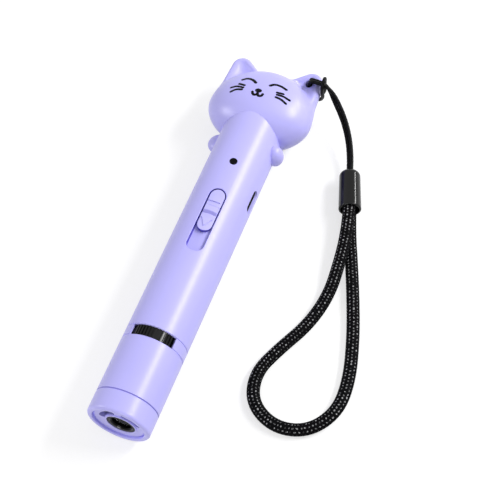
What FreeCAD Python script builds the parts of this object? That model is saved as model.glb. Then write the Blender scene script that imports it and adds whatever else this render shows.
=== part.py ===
"""Cat-headed laser pointer pen with a wrist lanyard, as separate pieces in millimetres.

The pen lies on its back on the floor: +Y runs from the lens end to the ears, +Z is up out of
the face, +X is the charging-port side, and the origin is under the middle of the pen.
Pieces are drawn in an upright frame (z from the lens face to the ears, -y out of the face, +x to
the viewer's right) and then laid down by their Placement.  The switch line of the barrel is
turned a few degrees round from the face line of the head, as on the photographed pen.
"""
import FreeCAD, Part
import math
import os
import Sketcher

Vector = FreeCAD.Vector
Rotation = FreeCAD.Rotation
Placement = FreeCAD.Placement

doc = FreeCAD.newDocument("cat_laser_pointer")
sheet = doc.addObject("Spreadsheet::Sheet", "dim")

SIZES = [
    ("barrel_radius", 11.0, "outside radius of the pen barrel"),
    ("barrel_wall", 1.5, "wall of the barrel and of the front sleeve"),
    ("seam_bevel", 0.28, "small bevel on each edge of a barrel seam"),
    ("press_gap", 0.02, "radial gap of a pressed or glued fit"),
    ("slide_gap", 0.3, "gap round pieces that move"),
    ("cap_seam", 7.6, "lens face to the seam of the front cap"),
    ("window_front", 28.0, "lens face to the near edge of the wheel window"),
    ("window_width", 4.0, "width of the wheel window along the pen"),
    ("window_half_angle", 43.5, "half of the wheel window's angle round the barrel"),
    ("window_shift", -1.5, "middle of the wheel window, round from the switch line"),
    ("frame_length", 153.6, "twice the lens face's distance from the frame's origin"),
    ("barrel_turn", 9.0, "turn of the switch line from the face line"),
    ("rim_lip", 1.9, "width of the rounded rim of the cap"),
    ("rim_round", 1.1, "rounding of the cap's rim"),
    ("lip_round", 0.35, "rounding of the rim's inner edge"),
    ("edge_round", 0.2, "rounding of small moulded edges"),
    ("recess_depth", 0.85, "depth of the cap's face below the rim"),
    ("groove_edge", 8.7, "radius of the cap's face inside its groove"),
    ("groove_depth", 1.3, "depth of the groove inside the cap's rim"),
    ("floor_thick", 1.6, "thickness of the cap's face"),
    ("boss_radius", 5.5, "outside radius of the lip round the lens ring"),
    ("boss_drop", 0.5, "rim to the top of that lip"),
    ("lens_aside", 0.85, "pen axis to the middle of the lens ring, to the right"),
    ("ring_radius", 5.0, "outside radius of the black lens ring"),
    ("ring_drop", 0.65, "rim to the front of the lens ring"),
    ("ring_mouth", 4.1, "radius of the lens ring's bevel at the front"),
    ("ring_bore", 3.5, "clear radius of the lens ring"),
    ("ring_back", 6.6, "lens face to the back of the lens ring"),
    ("lens_front", 2.4, "lens face to the front of the lens window"),
    ("lens_thick", 1.2, "thickness of the lens window"),
    ("lens_radius", 4.2, "radius of the lens window"),
    ("slot_inner", 5.65, "inner radius of the two lamp windows"),
    ("slot_outer", 7.75, "outer radius of the two lamp windows"),
    ("slot_angle", 44.0, "face line to the middle of a lamp window"),
    ("slot_half_angle", 25.0, "half of a lamp window's straight angle"),
    ("spigot_length", 3.0, "length of the cap's spigot in the sleeve"),
    ("spigot_wall", 0.8, "wall of the cap's spigot"),
    ("lamp_radius", 1.0, "radius of the two small lamps"),
    ("lamp_flange", 1.1, "radius of the flange of a lamp"),
    ("lamp_circle", 6.75, "lens ring's middle to the middle of a lamp"),
    ("lamp_tip", 4.0, "lens face to the tip of a lamp"),
    ("lamp_board_front", 9.0, "lens face to the lamp board"),
    ("board_thick", 1.0, "thickness of the round boards"),
    ("lamp_board_bore", 4.2, "radius of the hole in the lamp board"),
    ("wheel_radius", 8.35, "outside radius of the pattern wheel"),
    ("wheel_offset", 2.6, "pen axis to the wheel's axle, towards the switch line"),
    ("wheel_gap", 0.15, "gap on each side of the wheel in its window"),
    ("rib_count", 44.0, "number of finger ribs on the wheel"),
    ("rib_depth", 0.45, "depth of a groove between ribs"),
    ("rib_groove", 0.5, "width of a groove between ribs"),
    ("axle_radius", 0.78, "radius of the wheel's axle"),
    ("axle_gap", 0.06, "running gap round the axle"),
    ("cell_count", 5.0, "number of pattern cells in the wheel"),
    ("cell_radius", 0.8, "clear radius of a pattern cell"),
    ("film_radius", 1.0, "radius of a pattern film"),
    ("film_thick", 0.3, "thickness of a pattern film"),
    ("plate_thick", 2.0, "thickness of the wheel carriage's plates"),
    ("plate_gap", 0.4, "gap between a carriage plate and the wheel window"),
    ("beam_radius", 1.2, "radius of the beam holes in the carriage"),
    ("strut_width", 8.0, "width of the carriage's strut"),
    ("strut_inner", 7.5, "pen axis to the strut's inner face"),
    ("ribbon_width", 3.0, "width of the lamp ribbon"),
    ("ribbon_thick", 0.25, "thickness of the lamp ribbon"),
    ("ribbon_height", 6.9, "pen axis to the ribbon's inner face"),
    ("laser_radius", 4.5, "outside radius of the laser housing"),
    ("laser_length", 12.0, "length of the laser housing"),
    ("laser_wall", 1.4, "wall of the laser housing"),
    ("laser_sleeve", 0.9, "wall of the carriage's tube round the laser"),
    ("board_front", 52.0, "lens face to the front edge of the main board"),
    ("board_back", 117.0, "lens face to the back edge of the main board"),
    ("main_board_half", 8.2, "half width of the main board"),
    ("main_board_face", 1.3, "pen axis to the main board's upper face"),
    ("main_board_thick", 1.2, "thickness of the main board"),
    ("ledge_depth", 1.2, "height of the ledges that carry the main board"),
    ("recess_front", 63.0, "lens face to the near end of the switch recess"),
    ("recess_length", 26.2, "length of the switch recess"),
    ("recess_width", 6.15, "width of the switch recess"),
    ("recess_floor", 9.0, "pen axis to the floor of the switch recess"),
    ("recess_plate", 1.2, "thickness of the recess floor"),
    ("knob_length", 17.1, "length of the switch knob"),
    ("knob_width", 5.2, "width of the switch knob"),
    ("knob_under", 0.1, "gap under the sliding knob"),
    ("knob_top", 10.6, "pen axis to the knob's curved face"),
    ("knob_relief", 10.96, "pen axis to the top of the knob's ribs and arrows"),
    ("knob_rib", 0.5, "width of a thin rib on the knob"),
    ("knob_rib_place", 3.6, "knob's middle to a thin rib"),
    ("ridge_foot", 1.85, "half width of the finger ridge at its foot"),
    ("ridge_crest", 0.8, "half width of the finger ridge at its crest"),
    ("ridge_top", 11.2, "pen axis to the crest of the finger ridge"),
    ("ridge_margin", 0.25, "side of the knob to the end of the finger ridge"),
    ("arrow_radius", 2.1, "corner radius of the arrows on the knob"),
    ("arrow_place", 4.85, "knob middle to the middle of an arrow"),
    ("knob_travel", 8.4, "travel of the switch knob"),
    ("stem_half", 1.6, "half width of the knob's stem"),
    ("stem_length", 3.0, "length of the knob's stem"),
    ("stem_shift", 2.6, "knob's middle to its stem, towards the head"),
    ("stem_end", 6.0, "pen axis to the end of the knob's stem"),
    ("retainer_thick", 0.8, "thickness of the knob's retainer"),
    ("retainer_half", 2.7, "half width of the knob's retainer"),
    ("retainer_length", 7.4, "length of the knob's retainer"),
    ("lever_half", 0.75, "half width of the switch lever"),
    ("lever_length", 1.6, "length of the switch lever"),
    ("lever_top", 7.1, "pen axis to the top of the switch lever"),
    ("switch_half", 2.5, "half width of the slide switch body"),
    ("switch_height", 3.2, "height of the slide switch body"),
    ("port_place", 92.8, "lens face to the middle of the charging port"),
    ("port_offset", 2.9, "pen axis to the middle of the port, towards the face"),
    ("port_length", 9.0, "outside length of the port's shell"),
    ("port_height", 3.2, "outside height of the port's shell"),
    ("port_wall", 0.3, "wall of the port's shell"),
    ("port_depth", 7.0, "depth of the port's shell"),
    ("port_mouth", 10.1, "pen axis to the mouth of the port's shell"),
    ("port_clear", 0.1, "gap round the port in the barrel wall"),
    ("tongue_length", 6.6, "length of the port's tongue"),
    ("tongue_thick", 0.7, "thickness of the port's tongue"),
    ("light_place", 101.3, "lens face to the indicator light"),
    ("light_radius", 1.4, "radius of the indicator light"),
    ("light_flange", 1.9, "radius of the indicator's flange"),
    ("light_drop", 0.12, "barrel's surface down to the indicator's face"),
    ("chip_height", 0.8, "height of the indicator's chip"),
    ("cell_body_radius", 4.4, "radius of the battery"),
    ("cell_body_length", 44.0, "length of the battery"),
    ("cell_body_front", 57.0, "lens face to the front of the battery"),
    ("tab_thick", 0.25, "thickness of the battery tabs"),
    ("tab_half", 1.5, "half width of the battery tabs"),
    ("neck_front", 125.8, "barrel's end under the face, taken 12 mm out"),
    ("neck_back", 119.2, "barrel's end at the back, taken 12 mm out"),
    ("tenon_radius", 10.0, "radius of the barrel's tenon in the head"),
    ("tenon_wall", 1.4, "wall of the barrel's tenon"),
    ("tenon_end", 131.0, "lens face to the end of the tenon"),
    ("plug_thick", 2.0, "thickness of the tail plug's flange"),
    ("head_middle", 130.485, "lens face to the widest part of the head"),
    ("head_half_width", 19.62, "half width of the head"),
    ("head_half_depth", 12.36, "half depth of the head"),
    ("head_above", 17.69, "head above its widest part"),
    ("head_below", 13.53, "head below its widest part"),
    ("head_forward", 0.33, "pen axis to the head's middle plane"),
    ("head_aside", -0.7, "pen axis to the head's middle, to the right"),
    ("ear_top", 152.76, "lens face to the ear tips"),
    ("head_wall", 1.7, "wall of the head shells"),
    ("hump_end", 126.5, "lens face to the end of the neck at the back of the head"),
    ("socket_wall", 1.4, "wall round the tenon inside the head"),
    ("ear_tip_in", 5.76, "side of the head in to the middle of an ear's tip rounding"),
    ("ear_tip_round", 3.96, "rounding of an ear's tip"),
    ("ear_thick", 6.4, "thickness of an ear"),
    ("ear_forward", 0.5, "middle of an ear in front of the pen axis"),
    ("ear_round", 2.3, "rounding of an ear's edges"),
    ("scoop_half_width", 4.3, "half width of the hollow in an ear"),
    ("scoop_half_length", 5.2, "half length of the hollow in an ear"),
    ("scoop_half_depth", 3.0, "half depth of the form that hollows an ear"),
    ("scoop_out", 5.2, "pen axis to the middle of that form"),
    ("ear_hole_radius", 1.55, "radius of the lanyard hole in the ear"),
    ("ear_hole_in", 6.82, "side of the head in to the lanyard hole"),
    ("ear_hole_drop", 4.76, "ear tips down to the lanyard hole"),
    ("paw_place", 114.8, "lens face to the middle of a paw"),
    ("left_paw_angle", -97.0, "face line to the middle of the left paw"),
    ("left_paw_out", 4.1, "how far the left paw stands out"),
    ("left_paw_half_width", 2.7, "half width of the left paw"),
    ("left_paw_half_length", 3.9, "half length of the left paw"),
    ("right_paw_angle", 91.0, "face line to the middle of the right paw"),
    ("right_paw_out", 3.2, "how far the right paw stands out"),
    ("right_paw_half_width", 4.4, "half width of the right paw"),
    ("right_paw_half_length", 3.3, "half length of the right paw"),
    ("tether_radius", 0.7, "radius of the thin tether cord"),
    ("loop_half_width", 2.25, "half width of the flat wrist cord"),
    ("loop_half_thick", 1.6, "half thickness of the flat wrist cord"),
    ("bead_length", 16.2, "length of the lanyard bead"),
    ("bead_top_radius", 3.75, "radius of the bead at its domed top"),
    ("bead_foot_radius", 4.05, "radius of the bead at its mouth"),
    ("bead_dome_round", 2.08, "rounding of the bead's top"),
    ("bead_foot_round", 0.45, "rounding of the bead's mouth"),
    ("bead_bore", 3.42, "radius of the bead's mouth bore"),
    ("bead_neck", 7.0, "length of the bead's top hole"),
    ("core_front", 4.0, "bead's top to the joint of the two cords inside it"),
    ("core_back", 9.5, "bead's top to the far end of that joint"),
    ("bead_eye", 1.62, "radius of the bead's top hole"),
]
for row, (alias, value, note) in enumerate(SIZES, 1):
    sheet.set("A%d" % row, note)
    sheet.set("B%d" % row, repr(value))
    sheet.setAlias("B%d" % row, alias)
doc.recompute()


class Size:
    """A number from the sheet together with the expression that yields it."""

    def __init__(self, value, text):
        self.value = float(value)
        self.text = text

    def __add__(self, other):
        other = as_size(other)
        return Size(self.value + other.value, "(%s + %s)" % (self.text, other.text))

    def __radd__(self, other):
        return as_size(other) + self

    def __sub__(self, other):
        other = as_size(other)
        return Size(self.value - other.value, "(%s - %s)" % (self.text, other.text))

    def __rsub__(self, other):
        return as_size(other) - self

    def __mul__(self, other):
        other = as_size(other)
        return Size(self.value * other.value, "(%s * %s)" % (self.text, other.text))

    def __rmul__(self, other):
        return as_size(other) * self

    def __truediv__(self, other):
        other = as_size(other)
        return Size(self.value / other.value, "(%s / %s)" % (self.text, other.text))

    def __neg__(self):
        return Size(-self.value, "(0 - %s)" % self.text)


def as_size(number):
    """A Size as it is, or a plain number made into one."""
    if isinstance(number, Size):
        return number
    return Size(number, "(0 - %.6f)" % -number if number < 0 else "%.6f" % number)


def size(alias):
    """The named value of the sheet."""
    return Size(float(sheet.get(alias)), "dim." + alias)


def sine(angle):
    """The sine of an angle in degrees."""
    return Size(math.sin(math.radians(angle.value)), "sin(%s)" % angle.text)


def cosine(angle):
    """The cosine of an angle in degrees."""
    return Size(math.cos(math.radians(angle.value)), "cos(%s)" % angle.text)


def root(number):
    """The square root of a size."""
    return Size(math.sqrt(number.value), "sqrt(%s)" % number.text)


def bind(target, **sizes):
    """Bind each property of an object to its size."""
    for prop, value in sizes.items():
        target.setExpression(prop, as_size(value).text)


def put(target, at, turn=None):
    """Place a form: its position is bound, its turn is fixed."""
    if turn is not None:
        target.Placement = Placement(Vector(), turn)
    for axis, value in zip("xyz", at):
        value = as_size(value)
        if value.value != 0 or "dim." in value.text:
            target.setExpression("Placement.Base." + axis, value.text)


TO_FACE = Rotation(Vector(1, 0, 0), 90)
TO_RIGHT = Rotation(Vector(0, 1, 0), 90)

half_length = size("frame_length") / 2


def laid_down(turn, out=0, aside=0):
    """The placement that lays the upright frame down: z goes to +Y and the face to +Z.

    turn is the frame's turn about the pen axis, out shifts it from there towards the turned
    face, and aside shifts it to the right.
    """
    out = as_size(out)
    turn = as_size(turn)
    along = "vector(%s; 0 - %s; %s + %s * cos(%s))"
    base = along % ("%s * sin(%s) + %s" % (out.text, turn.text, as_size(aside).text), half_length.text, size("barrel_radius").text,
                    out.text, turn.text)
    return ("placement(%s; rotation(vector(1; 0; 0); -90) * rotation(vector(0; 0; 1); %s))"
            % (base, turn.text))


def swung(turn, aside=0):
    """The placement that turns a form about a line along the pen, aside from its axis."""
    return ("placement(vector(%s; 0; 0); rotation(vector(0; 0; 1); %s))"
            % (as_size(aside).text, as_size(turn).text))


LAID_DOWN = laid_down(0)
TURNED = laid_down(size("barrel_turn"))

nodes = {}


def keep(name, target, placement):
    """Register a finished piece under its name with the placement that it gets at the end."""
    target.Label = name
    nodes[name] = (target, placement)
    return target


def body(name, placement):
    """An empty body that will carry a piece."""
    made = doc.addObject("PartDesign::Body", name + "_body")
    keep(name, made, placement)
    return made


def lump(owner, kind, at=(0, 0, 0), turn=None, **sizes):
    """Add or cut a primitive form on a body."""
    feature = owner.newObject("PartDesign::" + kind, owner.Name + "_" + kind)
    bind(feature, **sizes)
    put(feature, at, turn)
    return feature


def block(owner, kind, low, high):
    """Add or cut a box that spans two corners."""
    spans = [as_size(b) - as_size(a) for a, b in zip(low, high)]
    return lump(owner, kind + "Box", low, Length=spans[0], Width=spans[1], Height=spans[2])


def plane(owner, role):
    """One of a body's own origin planes."""
    return [item for item in owner.Origin.OriginFeatures if item.Role == role][0]


def outline(owner, name, corners, role="XZ_Plane", lift=None):
    """A closed sketch through corners whose coordinates are bound to the sheet."""
    sketch = owner.newObject("Sketcher::SketchObject", name)
    sketch.AttachmentSupport = [(plane(owner, role), "")]
    sketch.MapMode = "FlatFace"
    corners = [(as_size(a), as_size(b)) for a, b in corners]
    points = [Vector(a.value, b.value, 0) for a, b in corners]
    count = len(points)
    for index in range(count):
        sketch.addGeometry(Part.LineSegment(points[index], points[(index + 1) % count]), False)
    for index in range(count):
        sketch.addConstraint(Sketcher.Constraint("Coincident", index, 2, (index + 1) % count, 1))
    for index, (a, b) in enumerate(corners):
        for kind, value in (("DistanceX", a), ("DistanceY", b)):
            if abs(value.value) < 1e-9:
                other = -2 if kind == "DistanceX" else -1
                sketch.addConstraint(Sketcher.Constraint("PointOnObject", index, 1, other))
                continue
            ends = (-1, 1, index, 1) if value.value > 0 else (index, 1, -1, 1)
            number = sketch.addConstraint(Sketcher.Constraint(kind, *ends, abs(value.value)))
            text = value.text if value.value > 0 else "0 - %s" % value.text
            sketch.setExpression("Constraints[%d]" % number, text)
    if lift is not None:
        sketch.setExpression("AttachmentOffset.Base.z", as_size(lift).text)
    return sketch


def turned(name, placement, corners):
    """A body turned about the pen axis from half of its section."""
    made = body(name, placement)
    sketch = outline(made, name + "_section", corners)
    spin = made.newObject("PartDesign::Revolution", name + "_spin")
    spin.Profile = sketch
    spin.ReferenceAxis = (sketch, ["V_Axis"])
    spin.Angle = 360
    sketch.Visibility = False
    return made


def stadium(owner, kind, middle, width, length, near, far, along="z"):
    """Add or cut a round-ended bar: along the pen, pointing out of the face or to the right."""
    # middle is the bar's middle (x or y, z); near and far are its depths along its own direction
    half = (as_size(length) - as_size(width)) / 2
    side, place = as_size(middle[0]), as_size(middle[1])
    radius = as_size(width) / 2
    depth = as_size(far) - as_size(near)
    if along == "face":
        low = (side - radius, -as_size(far), place - half)
        high = (side + radius, -as_size(near), place + half)
        ends = [(side, -as_size(near), place + step) for step in (half, -half)]
        turn = TO_FACE
    else:
        low = (near, side - radius, place - half)
        high = (far, side + radius, place + half)
        ends = [(as_size(near), side, place + step) for step in (half, -half)]
        turn = TO_RIGHT
    block(owner, kind, low, high)
    for end in ends:
        lump(owner, kind + "Cylinder", end, turn, Radius=radius, Height=depth)


def round_edges(owner, name, radius, wanted):
    """Round the edges of a body's newest feature that wanted(lowest, highest corner) picks."""
    doc.recompute()
    base = owner.Group[-1]
    picked = []
    for number, edge in enumerate(base.Shape.Edges, 1):
        points = edge.discretize(9)
        low = Vector(*[min(p[axis] for p in points) for axis in range(3)])
        high = Vector(*[max(p[axis] for p in points) for axis in range(3)])
        if wanted(low, high):
            picked.append("Edge%d" % number)
    if not picked:
        raise RuntimeError("no edge to round for " + name)
    fillet = owner.newObject("PartDesign::Fillet", name)
    fillet.Base = (base, picked)
    fillet.setExpression("Radius", as_size(radius).text)
    doc.recompute()
    return fillet


def near(a, b):
    """Whether two lengths agree closely."""
    return abs(a - as_size(b).value) < 0.005


def ring_at(radius, place):
    """A test for the round edges at a radius about the pen axis and a place along it."""
    def test(low, high):
        far = max(abs(low.x), abs(high.x), abs(low.y), abs(high.y))
        return near(low.z, place) and near(high.z, place) and abs(far - as_size(radius).value) < 0.4
    return test


R = size("barrel_radius")
bore = R - size("barrel_wall")
bevel = size("seam_bevel")
press = size("press_gap")
slide = size("slide_gap")
window_front = size("window_front")
window_back = window_front + size("window_width")
turn_about = Rotation(Vector(0, 0, 1), -90)

# Front cap, lens and lamps
lip_top = size("boss_drop")
floor_top = size("recess_depth")
floor_back = floor_top + size("floor_thick")
cap_seam = size("cap_seam")
spigot_end = cap_seam + size("spigot_length")
ring_seat = size("ring_radius") + press
ring_top = size("ring_drop")
rim_inner = R - size("rim_lip")
aside = size("lens_aside")
spigot_bore = bore - press - size("spigot_wall")
front_cap = turned("front_cap", LAID_DOWN, [
    (rim_inner, 0),
    (R, 0),
    (R, cap_seam - bevel),
    (R - bevel, cap_seam),
    (bore - press, cap_seam),
    (bore - press, spigot_end),
    (spigot_bore, spigot_end),
    (spigot_bore, floor_back),
    (0, floor_back),
    (0, floor_top),
    (size("groove_edge"), floor_top),
    (size("groove_edge"), size("groove_depth")),
    (rim_inner, size("groove_depth")),
])
round_edges(front_cap, "cap_rim", size("rim_round"), ring_at(R, 0))
round_edges(front_cap, "cap_lip", size("lip_round"), ring_at(rim_inner, 0))
round_edges(front_cap, "cap_face", size("edge_round"), ring_at(size("groove_edge"), floor_top))
# the lens ring and the lamp windows share a middle that lies beside the pen axis
lump(front_cap, "AdditiveCylinder", (aside, 0, lip_top), Radius=size("boss_radius"),
     Height=size("ring_back") - lip_top)
round_edges(front_cap, "lip_edge", size("edge_round"),
            lambda low, high: near(low.z, lip_top) and near(high.z, lip_top)
            and near(high.x, aside + size("boss_radius")))
lump(front_cap, "SubtractiveCylinder", (aside, 0, 0), Radius=ring_seat,
     Height=size("ring_back") + 1)
slot_width = size("slot_outer") - size("slot_inner")
slot_middle = (size("slot_outer") + size("slot_inner")) / 2
for side in (-1, 1):
    # each lamp window is an arc-shaped slot with round ends, cut through the face only
    for step in (-1, 1):
        angle = size("slot_angle") * side + size("slot_half_angle") * step
        lump(front_cap, "SubtractiveCylinder",
             (slot_middle * sine(angle) + aside, -(slot_middle * cosine(angle)), floor_top - 0.5),
             Radius=slot_width / 2, Height=size("floor_thick") + 1)
    cutter = turned("lamp_slot_%s" % ("left" if side < 0 else "right"), None, [
        (size("slot_inner"), floor_top - 0.5),
        (size("slot_outer"), floor_top - 0.5),
        (size("slot_outer"), floor_back + 0.5),
        (size("slot_inner"), floor_back + 0.5),
    ])
    nodes.pop(cutter.Label)
    spin = cutter.Group[-1]
    spin.setExpression("Angle", (size("slot_half_angle") * 2).text)
    # the section starts at +x, so the sweep is turned back to its place about the face line
    cutter.setExpression("Placement",
                         swung(size("slot_angle") * side - size("slot_half_angle") - 90, aside))
    cut = front_cap.newObject("PartDesign::Boolean", "cap_window_%d" % (side + 1))
    cut.Type = "Cut"
    cut.setObjects([cutter])

BESIDE = laid_down(0, aside=aside)
lens_ring = turned("lens_ring", BESIDE, [
    (size("ring_mouth"), ring_top),
    (size("ring_radius"), ring_top),
    (size("ring_radius"), size("ring_back")),
    (size("lens_radius") + press, size("ring_back")),
    (size("lens_radius") + press, size("lens_front")),
    (size("ring_bore"), size("lens_front")),
    (size("ring_bore"), ring_top + size("ring_mouth") - size("ring_bore")),
])

round_edges(lens_ring, "ring_edge", size("edge_round"), ring_at(size("ring_radius"), ring_top))
lens_back = size("lens_front") + size("lens_thick")
lens_window = turned("lens_window", BESIDE, [
    (0, size("lens_front") + 0.0),
    (size("lens_radius"), size("lens_front") + 0.0),
    (size("lens_radius"), lens_back),
    (0, lens_back),
])

lamp_board_front = size("lamp_board_front")
lamp_board_back = lamp_board_front + size("board_thick")
lamp_board_edge = spigot_bore - press
led_board = turned("led_board", LAID_DOWN, [
    (size("lamp_board_bore"), lamp_board_front),
    (lamp_board_edge, lamp_board_front),
    (lamp_board_edge, lamp_board_back),
    (size("lamp_board_bore"), lamp_board_back),
])
for name, side in (("white_led", -1), ("uv_led", 1)):
    angle = size("slot_angle") * side
    lamp_x = size("lamp_circle") * sine(angle)
    lamp_y = -(size("lamp_circle") * cosine(angle))
    lamp = body(name, BESIDE)
    lump(lamp, "AdditiveCylinder", (lamp_x, lamp_y, size("lamp_tip") + size("lamp_radius")),
         Radius=size("lamp_radius"),
         Height=lamp_board_front - size("lamp_tip") - size("lamp_radius"))
    lump(lamp, "AdditiveSphere", (lamp_x, lamp_y, size("lamp_tip") + size("lamp_radius")),
         Radius=size("lamp_radius"))
    lump(lamp, "AdditiveCylinder", (lamp_x, lamp_y, lamp_board_front - 1),
         Radius=size("lamp_flange"), Height=1)

# Sleeve, collar and wheel
turned("front_sleeve", TURNED, [
    (bore, cap_seam),
    (R - bevel, cap_seam),
    (R, cap_seam + bevel),
    (R, window_front - bevel),
    (R - bevel, window_front),
    (bore, window_front),
])

wheel_offset = size("wheel_offset")
wheel_radius = size("wheel_radius")
wheel_collar = turned("wheel_collar", TURNED, [
    (bore, window_front),
    (R - bevel, window_front),
    (R, window_front + bevel),
    (R, window_back - bevel),
    (R - bevel, window_back),
    (bore, window_back),
])
# the section starts at +x: the open angle is left round the switch line (-y)
collar_spin = wheel_collar.Group[-1]
collar_spin.setExpression("Angle", (360 - size("window_half_angle") * 2).text)
window_end = size("window_half_angle") + size("window_shift")
nodes["wheel_collar"] = (wheel_collar, laid_down(size("barrel_turn") + window_end - 90))
# clearance for the wheel, drawn in the collar's own turned frame
lump(wheel_collar, "SubtractiveCylinder",
     (wheel_offset * cosine(window_end), -(wheel_offset * sine(window_end)), window_front - 1),
     Radius=wheel_radius + slide, Height=size("window_width") + 2)

plate_front = window_front - size("plate_gap") - size("plate_thick")
plate_back = window_back + size("plate_gap")
plate_end = plate_back + size("plate_thick")
plate_edge = bore - press
laser_seat = size("laser_radius") + press
laser_front = plate_end + 0.5
laser_back = laser_front + size("laser_length")
carriage = body("wheel_carriage", TURNED)
lump(carriage, "AdditiveCylinder", (0, 0, plate_front), Radius=plate_edge, Height=size("plate_thick"))
strut_outer = root(plate_edge * plate_edge - size("strut_width") * size("strut_width") / 4)
block(carriage, "Additive", (-size("strut_width") / 2, size("strut_inner"), plate_front),
      (size("strut_width") / 2, strut_outer, plate_end))
lump(carriage, "AdditiveCylinder", (0, 0, plate_back), Radius=plate_edge, Height=size("plate_thick"))
lump(carriage, "AdditiveCylinder", (0, 0, plate_end),
     Radius=laser_seat + size("laser_sleeve"), Height=laser_back - plate_end - 2)
lump(carriage, "SubtractiveCylinder", (0, 0, laser_front), Radius=laser_seat,
     Height=size("laser_length") + 1)
lump(carriage, "SubtractiveCylinder", (0, 0, plate_front - 1), Radius=size("beam_radius"),
     Height=laser_front - plate_front + 2)
lump(carriage, "SubtractiveCylinder", (0, -wheel_offset, plate_front - 1),
     Radius=size("axle_radius") + press, Height=plate_end - plate_front + 2)
ribbon_low = size("ribbon_height")
ribbon_top = ribbon_low + size("ribbon_thick")
block(carriage, "Subtractive",
      (-size("ribbon_width") / 2 - slide, ribbon_low - slide, plate_front - 1),
      (size("ribbon_width") / 2 + slide, ribbon_top + slide / 2, plate_end + 1))

axle = body("wheel_axle", TURNED)
lump(axle, "AdditiveCylinder", (0, -wheel_offset, plate_front), Radius=size("axle_radius"),
     Height=plate_end - plate_front)
lump(axle, "AdditiveCylinder", (0, -wheel_offset, plate_front - 0.4), Radius=1.2, Height=0.4)

wheel_front = window_front + size("wheel_gap")
wheel_thick = size("window_width") - size("wheel_gap") * 2
wheel = body("pattern_wheel", laid_down(size("barrel_turn"), out=wheel_offset))
disc = lump(wheel, "AdditiveCylinder", (0, 0, wheel_front), Radius=wheel_radius, Height=wheel_thick)
doc.recompute()
groove_sketch = outline(wheel, "rib_groove_section", [
    (-size("rib_groove") / 2, wheel_radius - size("rib_depth")),
    (size("rib_groove") / 2, wheel_radius - size("rib_depth")),
    (size("rib_groove") / 2 + 0.12, wheel_radius + 0.5),
    (-size("rib_groove") / 2 - 0.12, wheel_radius + 0.5),
], role="XY_Plane", lift=wheel_front - 1)
groove = wheel.newObject("PartDesign::Pocket", "rib_groove_cut")
groove.Profile = groove_sketch
groove.Type = "Length"
groove.Reversed = True
groove.setExpression("Length", (wheel_thick + 2).text)
doc.recompute()
ribs = wheel.newObject("PartDesign::PolarPattern", "rib_grooves")
ribs.Originals = [groove]
ribs.Axis = (groove_sketch, ["N_Axis"])
ribs.Angle = 360
ribs.setExpression("Occurrences", size("rib_count").text)
wheel.Tip = ribs
doc.recompute()
lump(wheel, "SubtractiveCylinder", (0, 0, wheel_front - 1),
     Radius=size("axle_radius") + size("axle_gap"), Height=wheel_thick + 2)
film_front = wheel_front + wheel_thick - size("film_thick")
for index in range(int(size("cell_count").value)):
    angle = as_size(360) / size("cell_count") * index
    cell_x = wheel_offset * sine(angle)
    cell_y = wheel_offset * cosine(angle)
    lump(wheel, "SubtractiveCylinder", (cell_x, cell_y, wheel_front - 1),
         Radius=size("cell_radius"), Height=wheel_thick + 2)
    if index == 0:
        # the first cell is open and lies in the beam at rest
        continue
    lump(wheel, "SubtractiveCylinder", (cell_x, cell_y, film_front),
         Radius=size("film_radius") + press, Height=size("film_thick") + 1)
    film = body("pattern_film_%d" % index, nodes["pattern_wheel"][1])
    lump(film, "AdditiveCylinder", (cell_x, cell_y, film_front),
         Radius=size("film_radius"), Height=size("film_thick"))

# Laser
laser_inner = size("laser_radius") - size("laser_wall")
turned("laser_housing", TURNED, [
    (size("beam_radius") + 0.3, laser_front),
    (size("laser_radius"), laser_front),
    (size("laser_radius"), laser_back),
    (laser_inner, laser_back),
    (laser_inner, laser_front + 1),
    (size("beam_radius") + 0.3, laser_front + 1),
])
collimator_back = laser_front + 3
turned("collimator_lens", TURNED, [
    (0, laser_front + 1.1),
    (laser_inner - press, laser_front + 1.1),
    (laser_inner - press, collimator_back),
    (0, collimator_back),
])
turned("lens_spacer", TURNED, [
    (laser_inner - 0.8, collimator_back),
    (laser_inner - press, collimator_back),
    (laser_inner - press, laser_back - 4),
    (laser_inner - 0.8, laser_back - 4),
])
turned("laser_diode", TURNED, [
    (0, laser_back - 6.2),
    (1.7, laser_back - 6.2),
    (1.7, laser_back - 4),
    (laser_inner - press, laser_back - 4),
    (laser_inner - press, laser_back),
    (0, laser_back),
])
driver_back = laser_back + size("board_thick")
turned("laser_driver_board", TURNED, [
    (0, laser_back),
    (size("laser_radius"), laser_back),
    (size("laser_radius"), driver_back),
    (0, driver_back),
])
board_face = size("main_board_face")
board_under = board_face - size("main_board_thick")
pin_radius = 0.3
for name, side in (("laser_pin_left", -1), ("laser_pin_right", 1)):
    pin = body(name, TURNED)
    lump(pin, "AdditiveCylinder", (1.6 * side, -(board_face + pin_radius), driver_back),
         Radius=pin_radius, Height=size("board_front") - driver_back + 3)

# Barrel tube
tenon = size("tenon_radius")
tenon_bore = tenon - size("tenon_wall")
light_place = size("light_place")
barrel = turned("barrel_tube", TURNED, [
    (bore, window_back),
    (R - bevel, window_back),
    (R, window_back + bevel),
    (R, size("neck_back") - 3),
    (tenon, size("neck_back") - 3),
    (tenon, size("tenon_end")),
    (tenon_bore, size("tenon_end")),
    (tenon_bore, size("board_back") + 1.5),
    (bore, size("board_back") + 1.5),
])
scarf = body("neck_scarf", None)
nodes.pop("neck_scarf")
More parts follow.
